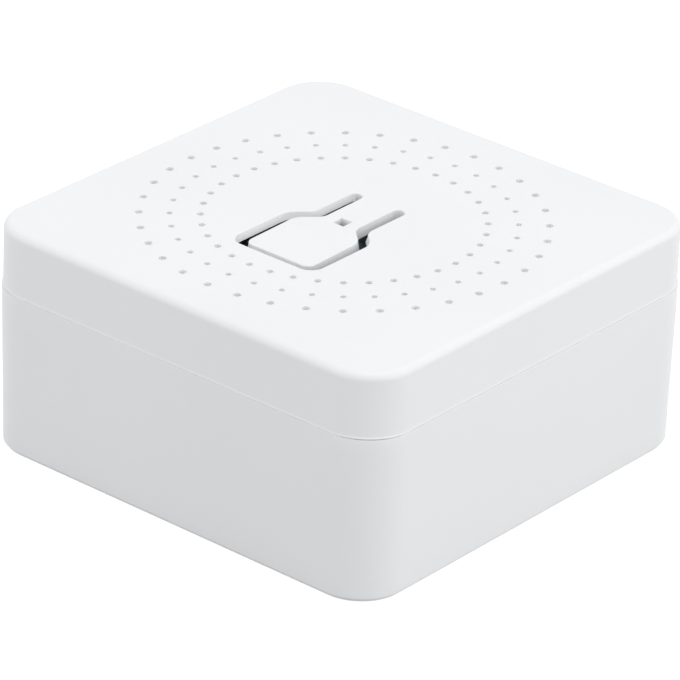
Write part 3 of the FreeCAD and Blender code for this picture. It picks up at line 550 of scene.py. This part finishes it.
# the base: the shell without its window cells, the windows in them, the underside and the floor
# round the guide bar, the driver holes through it, and the posts
def makeBase():
    profile, outerBandRow, innerBandRow = baseProfile()
    shell = sweep(casePath, caseNormals, profile)
    points, faces = gridPart(shell)
    columns = len(casePath)
    windows = outline["windows"]
    rearFirst = columns // 4  # the second of the four sides faces the rear
    row, column = faces[:, 0] // columns, faces[:, 0] % columns
    isRear = (column >= rearFirst) & (column < rearFirst + windows)
    isWindow = isRear & ((row == outerBandRow) | (row == innerBandRow))
    parts = [(points, faces[~isWindow])]
    for j in range(rearFirst, rearFirst + windows):
        centreX = shell[outerBandRow, j:j + 2, 0].mean()
        borders = [shell[r:r + 2, j:j + 2].reshape(-1, 3) for r in (outerBandRow, innerBandRow)]
        parts += windowParts(centreX, *borders)
    x = np.linspace(-bandEnd, bandEnd, windows + 1)

    # rectangle round the row of driver holes at a height, with a stop at each cell
    def holeBand(z):
        near, far = screwY - base["guideHalf"], screwY + base["guideHalf"]
        return np.array([(a, near, z) for a in x] + [(a, far, z) for a in x[::-1]])

    low, bar, floor = holeBand(0.0), holeBand(base["guideTop"]), holeBand(base["floor"])
    parts.append(gridPart(np.stack([bar, floor])))
    parts.append(zipPart(low, shell[0], (0, screwY)))
    parts.append(zipPart(floor, shell[-1], (0, screwY)))
    for index in range(windows):
        cell = [index, index + 1, 2 * windows - index, 2 * windows + 1 - index]
        parts += driverParts(x[index:index + 2].mean(), low[cell], bar[cell])
    parts += cornerPosts(outline["half"] - base["wall"], base["floor"] - outline["sunk"], partZ)
    piece = meshFrom("baseSkin", parts)
    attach(piece, "housing")
    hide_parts("base_case")
    return piece


baseSkin = makeBase()


# Plug button

button = {
    "holeCentre": (0.25, -0.48),
    "holeHalf": 0.525,
    "holeEdge": 0.05,
    "wellHalf": 0.925,
    "wellFoot": 16.25,
    "postRadius": 1.0,
    "postSteps": 32,
    "postChamfer": 0.1,
    "postY": -4.8,
    "postFoot": 17.28,
}


# how far the resting button hangs below flush: its slope grows evenly along the tongue and stays
# the same after it
def sagAt(y):
    length = plug["tongueLength"]
    slope = plug["footDrop"] / (plug["rootY"] - plug["buttonFootY"] - length / 2)
    along = plug["rootY"] - y
    bent = np.clip(along, 0, length)
    return slope * (bent ** 2 / (2 * length) + np.maximum(along - length, 0))


# right-hand outline from the root down to the foot, with extra stops level with the light hole's
# two edges once it is drawn in by the rounded edge
def buttonSide(holeSize):
    low, high = plug["buttonShoulders"]
    foot = plug["buttonFootY"]
    corners = [(plug["tongueHalf"] + plug["prongTipRadius"], plug["rootY"], 0),
               (plug["tongueHalf"], plug["rootY"], plug["prongTipRadius"]),
               (plug["tongueHalf"], high, plug["tongueRootRadius"]),
               (plug["buttonHalf"], low, plug["buttonShoulderRadius"]),
               (plug["buttonHalf"], foot, plug["buttonFootRadius"]),
               (0, foot, 0)]
    path, normals = roundedPath(corners, closed=False)
    path, normals = path[1:-1], -normals[1:-1]
    reach = (plug["edgeRound"] + plug["topDraft"]) * rootMask(path)
    inset = path - normals * reach[:, None]
    stops = button["holeCentre"][1] + holeSize * np.array([1, -1])
    index = np.arange(len(path))
    extra = np.interp(-stops, -inset[:, 1], index)
    rows = np.sort(np.concatenate([index, extra]))
    path = np.stack([np.interp(rows, index, values) for values in path.T], 1)
    normals = np.stack([np.interp(rows, index, values) for values in normals.T], 1)
    return path, normals, np.searchsorted(rows, extra)


# the plug-shaped plate: its rim is swept round the outline, its faces are rows across it that
# leave the light hole open, and the hole's wall is the hole's border shrunk about its middle
def platePart():
    half, holeEdge = button["holeHalf"], button["holeEdge"]
    holeSize, bevel = half + holeEdge, holeEdge * meshing["bevelMiddle"]
    holeCentre = np.array(button["holeCentre"])
    path, normals, (first, last) = buttonSide(holeSize)
    count = len(path)
    mirror = np.array([-1.0, 1.0])
    columnX = holeCentre[0] + holeSize * np.array([1, -1])
    foot = np.stack([columnX - plug["centreX"], np.full(2, plug["buttonFootY"])], 1)
    fullPath = np.concatenate([path, foot, (path * mirror)[::-1]]) + [plug["centreX"], 0]
    fullNormals = np.concatenate([normals, [[0, -1], [0, -1]], (normals * mirror)[::-1]])
    mask, edgeRows = rootMask(fullPath), plug["buttonEdgeRows"]
    rim = fadeEdge(sweep(fullPath, fullNormals, buttonProfile(), mask), edgeRows, mask)
    parts = [gridPart(rim, closed=False)]

    # each row across the plate has four points: right edge, both sides of the hole, left edge
    faces = gridFaces(count, 4, closed=False)
    i, j = faces[:, 0] // 4, faces[:, 0] % 4
    isHole = (j == 1) & (i >= first) & (i < last)
    grids = []
    for edge in (rim[0], rim[-1]):
        right, left = edge[:count], edge[::-1][:count]
        y = np.append(rim[0, :count - 1, 1], right[-1, 1])
        middle = [np.stack([np.full(count, x), y, right[:, 2]], 1) for x in columnX]
        grids.append(np.stack([right, *middle, left], 1))
        parts.append((grids[-1].reshape(-1, 3), faces[~isHole]))
    side = grids[0][first:last + 1, 1:3]
    border = np.concatenate([side[:, 0], side[::-1, 1]])[:, :2] - holeCentre
    holeRows = [(holeSize, topZ), (half + bevel, topZ - bevel), (half, topZ - holeEdge),
                (half, roofUnder + holeEdge), (holeSize, roofUnder)]
    parts.append(gridPart(ringGrid(holeCentre, border / holeSize, holeRows)))
    ends = rim[edgeRows, [-1, 0]]
    root = np.concatenate([grids[0][0], ends[:1], grids[1][0][::-1], ends[1:]])
    parts.append((root, np.arange(len(root))[None]))
    return parts


# the button: plate, square light well and round post, all lowered by the sag at their place
def makeButton():
    parts = platePart()
    square = np.array([[1.0, -1.0], [1.0, 1.0], [-1.0, 1.0], [-1.0, -1.0]])
    hole, well, foot = button["holeHalf"], button["wellHalf"], button["wellFoot"]
    wellRows = [(hole, roofUnder), (hole, foot), (well, foot), (well, roofUnder), (hole, roofUnder)]
    parts.append(gridPart(ringGrid(button["holeCentre"], square, wellRows)))
    radius, low, chamfer = button["postRadius"], button["postFoot"], button["postChamfer"]
    postRows = [(0.0, roofUnder), (radius, roofUnder), (radius, low + chamfer),
                (radius - chamfer, low), (0.0, low)]
    postCentre = (plug["centreX"], button["postY"])
    parts.append(gridPart(ringGrid(postCentre, unitCircle(button["postSteps"]), postRows)))
    parts = [(points - np.outer(sagAt(points[:, 1]), [0, 0, 1]), faces) for points, faces in parts]
    piece = meshFrom("buttonSkin", parts)
    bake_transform(piece)
    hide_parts("plug_button")
    return piece


buttonSkin = makeButton()


# Snap dome

dome = {
    "rows": 9,
    "steps": 36,
    "thick": 0.1,
    "rimWidth": 0.16,
    "keep": 0.5,
}


# a thin round cap: its height falls from the crown with the square of the radius, outside and
# inside, and the two are joined by a flat rim
def makeSnapDome():
    low, high = nodeBox("tact_dome")
    centre, radius = (low + high)[:2] / 2, (high - low)[0] / 2
    share = np.linspace(0, 1, dome["rows"])
    rise, fall = high[2] - low[2], 1 - share ** 2
    innerRadius, innerRise = radius - dome["rimWidth"], rise - dome["thick"]
    outside = np.stack([radius * share, low[2] + rise * fall], 1)
    inside = np.stack([innerRadius * share, low[2] + innerRise * fall], 1)
    rows = np.concatenate([outside, inside[::-1]])
    shell = ringGrid(centre, unitCircle(dome["steps"]), rows)
    piece = meshFrom("snapDome", [gridPart(shell)])
    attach(piece, "housing")
    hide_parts("tact_dome")
    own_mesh(piece)
    return piece


snapDome = makeSnapDome()
print("case, cover, button and dome built")


# Shader groups

colourKind, floatKind = "NodeSocketColor", "NodeSocketFloat"
white = (1.0, 1.0, 1.0, 1.0)
sharedInputs = [("Base", colourKind, (0.8, 0.8, 0.8, 1.0)), ("Shade", floatKind, 0.96),
                ("Roughness", floatKind, 0.45), ("Spread", floatKind, 0.06)]
sharedOutputs = [("Colour", colourKind), ("Roughness", floatKind), ("Height", floatKind)]


# links a socket to an input, or sets the input to a plain value
def setInput(tree, node, label, value):
    if isinstance(value, bpy.types.NodeSocket):
        tree.links.new(value, node.inputs[label])
    else:
        node.inputs[label].default_value = value


# a node with its settings; inputs go by label, or by place as s0, s1, s2
def addNode(tree, kind, settings=None, **inputs):
    node = tree.nodes.new(kind)
    for name, value in (settings or {}).items():
        setattr(node, name, value)
    for name, value in inputs.items():
        setInput(tree, node, int(name[1]) if name in ("s0", "s1", "s2") else name, value)
    return node


# arithmetic on two or three values
def addMath(tree, operation, first, second=0.0, third=None):
    node = addNode(tree, "ShaderNodeMath", {"operation": operation}, s0=first, s1=second)
    if third is not None:
        setInput(tree, node, 2, third)
    return node.outputs[0]


# a value stretched from one span to another
def addRange(tree, value, fromLow, fromHigh, toLow=0.0, toHigh=1.0):
    node = tree.nodes.new("ShaderNodeMapRange")
    for index, number in enumerate((value, fromLow, fromHigh, toLow, toHigh)):
        setInput(tree, node, index, number)
    return node.outputs["Result"]


# two colours mixed by a mask; a Mix node's colour sockets are its inputs 6 and 7 and its output 2
def addMix(tree, mask, first, second):
    node = tree.nodes.new("ShaderNodeMix")
    node.data_type = "RGBA"
    for index, value in ((0, mask), (6, first), (7, second)):
        setInput(tree, node, index, value)
    return node.outputs[2]


# a noise value over the object: the higher its scale, the smaller its spots
def addNoise(tree, place, scale, detail=2.0, roughness=0.5):
    return addNode(tree, "ShaderNodeTexNoise", Vector=place, Scale=scale, Detail=detail,
                   Roughness=roughness).outputs["Fac"]


# a vector's three parts
def addSplit(tree, vector):
    return addNode(tree, "ShaderNodeSeparateXYZ", s0=vector).outputs


# an empty shader group for a finish, with the shared inputs and its own, and the place on the
# object that its pattern reads
def openFinish(name, *ownInputs):
    group = bpy.data.node_groups.new(name, "ShaderNodeTree")
    for label, kind, value in sharedInputs + list(ownInputs):
        socket = group.interface.new_socket(label, in_out="INPUT", socket_type=kind)
        socket.default_value = value
    for label, kind in sharedOutputs:
        group.interface.new_socket(label, in_out="OUTPUT", socket_type=kind)
    inside = group.nodes.new("NodeGroupInput").outputs
    return group, inside, group.nodes.new("ShaderNodeTexCoord").outputs["Object"]


# the group's outputs: the colour falls to its shade under a mask, the roughness swings about its
# middle with a value, and the height goes out as it is
def closeFinish(group, inside, mask, swing, height):
    darker = addNode(group, "ShaderNodeVectorMath", {"operation": "SCALE"}, s0=inside["Base"],
                     Scale=inside["Shade"]).outputs[0]
    colour = addMix(group, mask, inside["Base"], darker)
    centred = addMath(group, "SUBTRACT", swing, 0.5)
    rough = addMath(group, "MULTIPLY_ADD", centred, inside["Spread"], inside["Roughness"])
    addNode(group, "NodeGroupOutput", Colour=colour, Roughness=rough, Height=height)
    return group


mould = {
    "grainDetail": 3.0,
    "grainRoughness": 0.6,
    "flowSpan": (0.35, 0.65),
    "flowHeight": 0.5,
}


# moulded skin: fine spark grain with soft shallow flow marks under it
def makeMouldGrain():
    group, inside, place = openFinish("mouldGrain", ("Grain", floatKind, 7000.0),
                                      ("Flow", floatKind, 90.0))
    grain = addNoise(group, place, inside["Grain"], mould["grainDetail"], mould["grainRoughness"])
    flow = addNoise(group, place, inside["Flow"])
    mask = addRange(group, flow, *mould["flowSpan"])
    height = addMath(group, "MULTIPLY_ADD", flow, mould["flowHeight"], grain)
    return closeFinish(group, inside, mask, grain, height)


drawn = {
    "lineDetail": 2.0,
    "lineRoughness": 0.6,
    "lineSpan": (0.3, 0.7),
    "stainScale": 700.0,
    "stainDetail": 3.0,
    "stainRoughness": 0.55,
}


# drawn or rolled metal: noise stretched along the part's length gives long scratches and streaks
def makeDrawnLines():
    group, inside, place = openFinish("drawnLines", ("Lines", floatKind, 9000.0),
                                      ("Stretch", floatKind, 0.04))
    x, y, z = addSplit(group, place)
    along = addMath(group, "MULTIPLY", x, inside["Stretch"])
    stretched = addNode(group, "ShaderNodeCombineXYZ", s0=along, s1=y, s2=z).outputs[0]
    lines = addNoise(group, stretched, inside["Lines"], drawn["lineDetail"],
                     drawn["lineRoughness"])
    stain = addNoise(group, place, drawn["stainScale"], drawn["stainDetail"],
                     drawn["stainRoughness"])
    mask = addMath(group, "MULTIPLY", addRange(group, lines, *drawn["lineSpan"]), stain)
    return closeFinish(group, inside, mask, lines, lines)


dip = {
    "speckSpan": (0.6, 0.7),
    "speckHeight": 0.1,
}


# dipped coat: slow waves of the cured resin with a few fine specks
def makeDippedCoat():
    group, inside, place = openFinish("dippedCoat", ("Waves", floatKind, 900.0),
                                      ("Specks", floatKind, 9000.0))
    waves = addNoise(group, place, inside["Waves"])
    specks = addNoise(group, place, inside["Specks"])
    mask = addRange(group, specks, *dip["speckSpan"])
    height = addMath(group, "MULTIPLY_ADD", specks, dip["speckHeight"], waves)
    return closeFinish(group, inside, mask, waves, height)


winding = {
    "wanderScale": 300.0,
    "wanderReach": 0.00006,
    "grooveShadeSpan": (0.0, 0.75),
}


# wire laid turn beside turn: with across going from -1 to 1 over each turn, the height is the root
# of 1 - across * across, a round bulge, and the colour is darkened in the grooves as painted shade
def makeWindingLines():
    group, inside, place = openFinish("windingLines", ("Turns", floatKind, 5000.0),
                                      ("Axis", "NodeSocketVector", (1.0, 0.0, 0.0)))
    along = addNode(group, "ShaderNodeVectorMath", {"operation": "DOT_PRODUCT"}, s0=place,
                    s1=inside["Axis"]).outputs["Value"]
    noise = addNoise(group, place, winding["wanderScale"])
    wander = addMath(group, "MULTIPLY", noise, winding["wanderReach"])
    phase = addMath(group, "MULTIPLY", addMath(group, "ADD", along, wander), inside["Turns"])
    across = addMath(group, "MULTIPLY_ADD", addMath(group, "FRACT", phase), 2.0, -1.0)
    square = addMath(group, "MULTIPLY", across, across)
    left = addMath(group, "MAXIMUM", addMath(group, "SUBTRACT", 1.0, square), 0.0)
    bulge = addMath(group, "SQRT", left)
    # painted shade: the colour falls to its shade in the grooves between turns, where the bump dips
    mask = addRange(group, bulge, *winding["grooveShadeSpan"], 1.0, 0.0)
    return closeFinish(group, inside, mask, bulge, bulge)


tracks = {
    "patchSpread": 0.6,
    "crosswiseOver": 0.5,  # patches whose first random number is over this have crosswise tracks
    "pouredOver": 0.5,  # patches whose second one is over this are all copper
    "trackSpan": (0.2, 0.26),
    "weaveDetail": 1.0,
    "weaveHeight": 0.08,
}


# printed board: in each squarish patch copper tracks run side by side, lengthwise or across, or
# the copper is poured all over; it shows raised and in its own shade under the solder mask
def makeBoardTracks():
    group, inside, place = openFinish("boardTracks", ("Patches", floatKind, 170.0),
                                      ("Tracks", floatKind, 1300.0), ("Weave", floatKind, 3500.0))
    patch = addNode(group, "ShaderNodeTexVoronoi", {"feature": "F1", "distance": "CHEBYCHEV"},
                    Vector=place, Scale=inside["Patches"], Randomness=tracks["patchSpread"])
    first, second, _ = addSplit(group, patch.outputs["Color"])
    x, y, _ = addSplit(group, place)
    crosswise = addMath(group, "GREATER_THAN", first, tracks["crosswiseOver"])
    along = addRange(group, crosswise, 0.0, 1.0, x, y)
    phase = addMath(group, "MULTIPLY", along, inside["Tracks"])
    track = addRange(group, addMath(group, "PINGPONG", phase, 0.5), *tracks["trackSpan"])
    poured = addMath(group, "GREATER_THAN", second, tracks["pouredOver"])
    copper = addMath(group, "MAXIMUM", track, poured)
    weave = addNoise(group, place, inside["Weave"], tracks["weaveDetail"])
    height = addMath(group, "MULTIPLY_ADD", weave, tracks["weaveHeight"], copper)
    return closeFinish(group, inside, copper, weave, height)


mouldGrain = makeMouldGrain()
drawnLines = makeDrawnLines()
dippedCoat = makeDippedCoat()
windingLines = makeWindingLines()
boardTracks = makeBoardTracks()
print("shader groups made")


# Materials

# In each table a slot has its material's name, the bump's depth in metres, the colour, its shade,
# the roughness and its spread, and then the group's own values.
sharedLabels = ("Shade", "Roughness", "Spread")
plasticLabels = ("Grain", "Flow")
plastics = {
    "case_plastic": ("whiteCasePlastic", 6e-6, (0.922, 0.924, 0.929), 0.985, 0.43, 0.05, 6500, 60),
    "black_plastic": ("blackSwitchPlastic", 1e-5, (0.02, 0.02, 0.022), 0.8, 0.5, 0.1, 7000, 300),
    "terminal_plastic": (
        "greenTerminalPlastic", 1e-5, (0.03, 0.16, 0.06), 0.85, 0.5, 0.1, 5000, 200),
    "relay_plastic": ("blackRelayPlastic", 1e-5, (0.03, 0.03, 0.035), 0.8, 0.42, 0.1, 6000, 200),
    "bobbin_plastic": ("creamBobbinPlastic", 1e-5, (0.75, 0.73, 0.66), 0.94, 0.48, 0.08, 6000, 200),
    "silicon_mould": ("blackChipMould", 1e-5, (0.018, 0.018, 0.02), 0.7, 0.55, 0.12, 9000, 900),
    "chip_ceramic": ("tanChipCeramic", 1e-5, (0.5, 0.38, 0.26), 0.9, 0.5, 0.1, 9000, 900),
    "ferrite": ("greyFerrite", 2e-5, (0.06, 0.06, 0.065), 0.75, 0.6, 0.15, 9000, 600),
}
metalLabels = ("Lines", "Stretch")
metals = {
    "steel": ("platedSteel", 4e-6, (0.62, 0.62, 0.61), 0.8, 0.32, 0.15, 6000, 0.05),
    "tin": ("tinnedSheet", 4e-6, (0.74, 0.74, 0.73), 0.85, 0.3, 0.12, 5000, 0.05),
    "magnet_iron": ("magnetIron", 4e-6, (0.45, 0.45, 0.46), 0.75, 0.4, 0.2, 6000, 0.08),
    "brass": ("rolledBrass", 4e-6, (0.78, 0.6, 0.28), 0.8, 0.3, 0.15, 6000, 0.05),
}
coatLabels = ("Waves",)
coats = {
    "capacitor_film": ("yellowBoxFilm", 2e-5, (0.75, 0.45, 0.04), 0.9, 0.35, 0.08, 600),
    "varistor_coat": ("blueDippedResin", 2e-5, (0.02, 0.09, 0.35), 0.85, 0.3, 0.08, 900),
    "resistor_coat": ("greenResistorCoat", 2e-5, (0.12, 0.28, 0.14), 0.85, 0.35, 0.08, 1200),
    "aluminium_can": ("darkCanSleeve", 2e-5, (0.08, 0.09, 0.12), 0.85, 0.3, 0.08, 500),
    "lens": ("milkyLens", 2e-5, (0.8, 0.85, 0.9), 0.97, 0.2, 0.05, 500),
}
boardLabels = ("Patches",)
boards = {
    "board_laminate": ("slateBoardMask", 3e-5, (0.26, 0.33, 0.38), 1.2, 0.3, 0.08, 170),
    "radio_laminate": ("blueBoardMask", 3e-5, (0.01, 0.02, 0.05), 2.0, 0.3, 0.08, 260),
}
wireLabels = ("Turns", "Axis")
wires = {
    # the wire's shade of 0.45 is the painted shade in the grooves between its turns
    "copper_wire": ("enamelledWire", 8e-5, (0.72, 0.3, 0.12), 0.45, 0.3, 0.1, 5000, (1, 0, 0)),
}
finishes = {}


# a finish: the group's varying colour, roughness and height feed the shader, and its constants sit
# on the shader's own sockets
def makeFinish(name, group, groupInputs, bumpDepth, **shaderInputs):
    material = bpy.data.materials.new(name)
    material.use_nodes = True
    tree = material.node_tree
    tree.nodes.clear()
    out = tree.nodes.new("ShaderNodeOutputMaterial")
    shader = tree.nodes.new("ShaderNodeBsdfPrincipled")
    finish = tree.nodes.new("ShaderNodeGroup")
    finish.node_tree = group
    for label, value in groupInputs.items():
        finish.inputs[label].default_value = value
    bump = addNode(tree, "ShaderNodeBump", Distance=bumpDepth,
                   Height=finish.outputs["Height"])
    tree.links.new(finish.outputs["Colour"], shader.inputs["Base Color"])
    tree.links.new(finish.outputs["Roughness"], shader.inputs["Roughness"])
    tree.links.new(bump.outputs["Normal"], shader.inputs["Normal"])
    tree.links.new(shader.outputs["BSDF"], out.inputs["Surface"])
    for label, value in shaderInputs.items():
        shader.inputs[label].default_value = value
    return material


# one finish for each row of a table
def addFinishes(table, group, ownLabels, **shaderInputs):
    for slot, (name, bumpDepth, colour, *values) in table.items():
        groupInputs = dict(zip(sharedLabels + ownLabels, values), Base=colour + (1.0,))
        finishes[slot] = makeFinish(name, group, groupInputs, bumpDepth, **shaderInputs)


# every CAD node takes the finish of its slot in the record, in each of its mesh's material places
def dressNodes():
    for part in frame["record"]["subparts"]:
        node = frame["nodes"][part["node"]]
        finish = finishes[part["material_slot"]]
        if not node.material_slots:
            node.data.materials.append(finish)
        for place in node.material_slots:
            place.material = finish


addFinishes(plastics, mouldGrain, plasticLabels)
addFinishes(metals, drawnLines, metalLabels, Metallic=1.0)
addFinishes(coats, dippedCoat, coatLabels)
addFinishes(boards, boardTracks, boardLabels)
addFinishes(wires, windingLines, wireLabels, Metallic=1.0)
dressNodes()
for piece in (coverSkin, baseSkin, buttonSkin):
    piece.data.materials.append(finishes["case_plastic"])
snapDome.data.materials.append(finishes["steel"])
print("materials given:", len(finishes))


# Studio

studio = {
    "worldLight": 0.8,
    "lightTint": (0.985, 0.992, 1.0),
    "floorHalf": 1.2,
    "floorColour": 0.5,
    "floorGlow": 0.8,
    "lamps": {
        "overhead": {"power": 0.508, "size": 0.5, "place": (0.05, 0.0, 0.60)},
        "rightSide": {"power": 0.26, "size": 0.3, "place": (0.42, 0.05, 0.12)},
        "rightBack": {"power": 0.188, "size": 0.3, "place": (0.33, 0.27, 0.12)},
        "leftFill": {"power": 0.04, "size": 0.12, "place": (-0.14, -0.19, 0.10)},
    },
}


# what the camera, reflections and glass see directly: 1 for those rays, 0 for light on its way to
# a surface
def addSeenMask(tree):
    rays = tree.nodes.new("ShaderNodeLightPath").outputs
    seen = addMath(tree, "MAXIMUM", rays["Is Camera Ray"], rays["Is Glossy Ray"])
    return addMath(tree, "MAXIMUM", seen, rays["Is Transmission Ray"])


# an even room: its light is soft and a little cool, and what is seen directly stays white
def makeWorld():
    world = bpy.data.worlds.new("softRoom")
    world.use_nodes = True
    tree = world.node_tree
    sky = tree.nodes["Background"]
    seen = addSeenMask(tree)
    strength = addRange(tree, seen, 0.0, 1.0, studio["worldLight"], 1.0)
    tint = addMix(tree, seen, studio["lightTint"] + (1.0,), white)
    tree.links.new(tint, sky.inputs["Color"])
    tree.links.new(strength, sky.inputs["Strength"])
    bpy.context.scene.world = world


# a flat floor under the object's resting face; from below it is clear, so that the underside can
# be looked at
def makeFloor():
    half, grey = studio["floorHalf"], studio["floorColour"]
    corners = [(-half, -half, 0), (half, -half, 0), (half, half, 0), (-half, half, 0)]
    mesh = bpy.data.meshes.new("studioFloor")
    mesh.from_pydata(corners, [], [(0, 1, 2, 3)])
    floor = bpy.data.objects.new("studioFloor", mesh)
    bpy.context.scene.collection.objects.link(floor)
    material = bpy.data.materials.new("paleFloor")
    material.use_nodes = True
    tree = material.node_tree
    tree.nodes.clear()
    out = tree.nodes.new("ShaderNodeOutputMaterial")
    lit = addNode(tree, "ShaderNodeBsdfDiffuse", Color=(grey, grey, grey, 1.0))
    glowing = addMath(tree, "MULTIPLY", addSeenMask(tree), studio["floorGlow"])
    glow = addNode(tree, "ShaderNodeEmission", Color=white, Strength=glowing)
    both = addNode(tree, "ShaderNodeAddShader", s0=lit.outputs[0], s1=glow.outputs[0])
    clear = tree.nodes.new("ShaderNodeBsdfTransparent")
    under = tree.nodes.new("ShaderNodeNewGeometry").outputs["Backfacing"]
    mix = addNode(tree, "ShaderNodeMixShader", s0=under, s1=both.outputs[0],
                  s2=clear.outputs[0])
    tree.links.new(mix.outputs[0], out.inputs["Surface"])
    mesh.materials.append(material)


# a square soft lamp that looks at the middle of the object
def makeLamp(name, power, size, place):
    light = bpy.data.lights.new(name, "AREA")
    light.energy = power
    light.size = size
    light.color = studio["lightTint"]
    lamp = bpy.data.objects.new(name, light)
    bpy.context.scene.collection.objects.link(lamp)
    lamp.location = place
    lamp.visible_camera = False
    toward = Vector((0.0, 0.0, topZ * mm / 2)) - lamp.location
    lamp.rotation_euler = toward.to_track_quat("-Z", "Y").to_euler()


photoView = {
    "target": (6.2604, -7.5586, 13.6873),
    "distance": 404.37,
    "azimuth": 39.378,  # degrees, as are the next two
    "elevation": 26.986,
    "roll": 2.224,
    "lens": 279.24,
    "sensorWidth": 36.0,
    "clip": (0.01, 10.0),  # metres
}


# the photo's camera: place = target + distance * (sin a cos e, -cos a cos e, sin e), looking back
# at the target and turned by the roll
def makeCamera():
    azimuth, elevation = math.radians(photoView["azimuth"]), math.radians(photoView["elevation"])
    away = Vector((math.sin(azimuth) * math.cos(elevation),
                   -math.cos(azimuth) * math.cos(elevation), math.sin(elevation)))
    data = bpy.data.cameras.new("photoCamera")
    data.lens, data.sensor_width = photoView["lens"], photoView["sensorWidth"]
    data.sensor_fit = "HORIZONTAL"
    data.clip_start, data.clip_end = photoView["clip"]
    camera = bpy.data.objects.new("photoCamera", data)
    bpy.context.scene.collection.objects.link(camera)
    place = (Vector(photoView["target"]) + away * photoView["distance"]) * mm
    aim = Euler((math.pi / 2 - elevation, 0.0, azimuth)).to_matrix()
    turn = Matrix.Rotation(math.radians(photoView["roll"]), 3, "Z")
    camera.matrix_world = Matrix.Translation(place) @ (aim @ turn).to_4x4()
    bpy.context.scene.camera = camera


makeWorld()
makeFloor()
for name, lampValues in studio["lamps"].items():
    makeLamp(name, **lampValues)
makeCamera()
bpy.context.scene.view_settings.view_transform = "Standard"
print("studio ready")
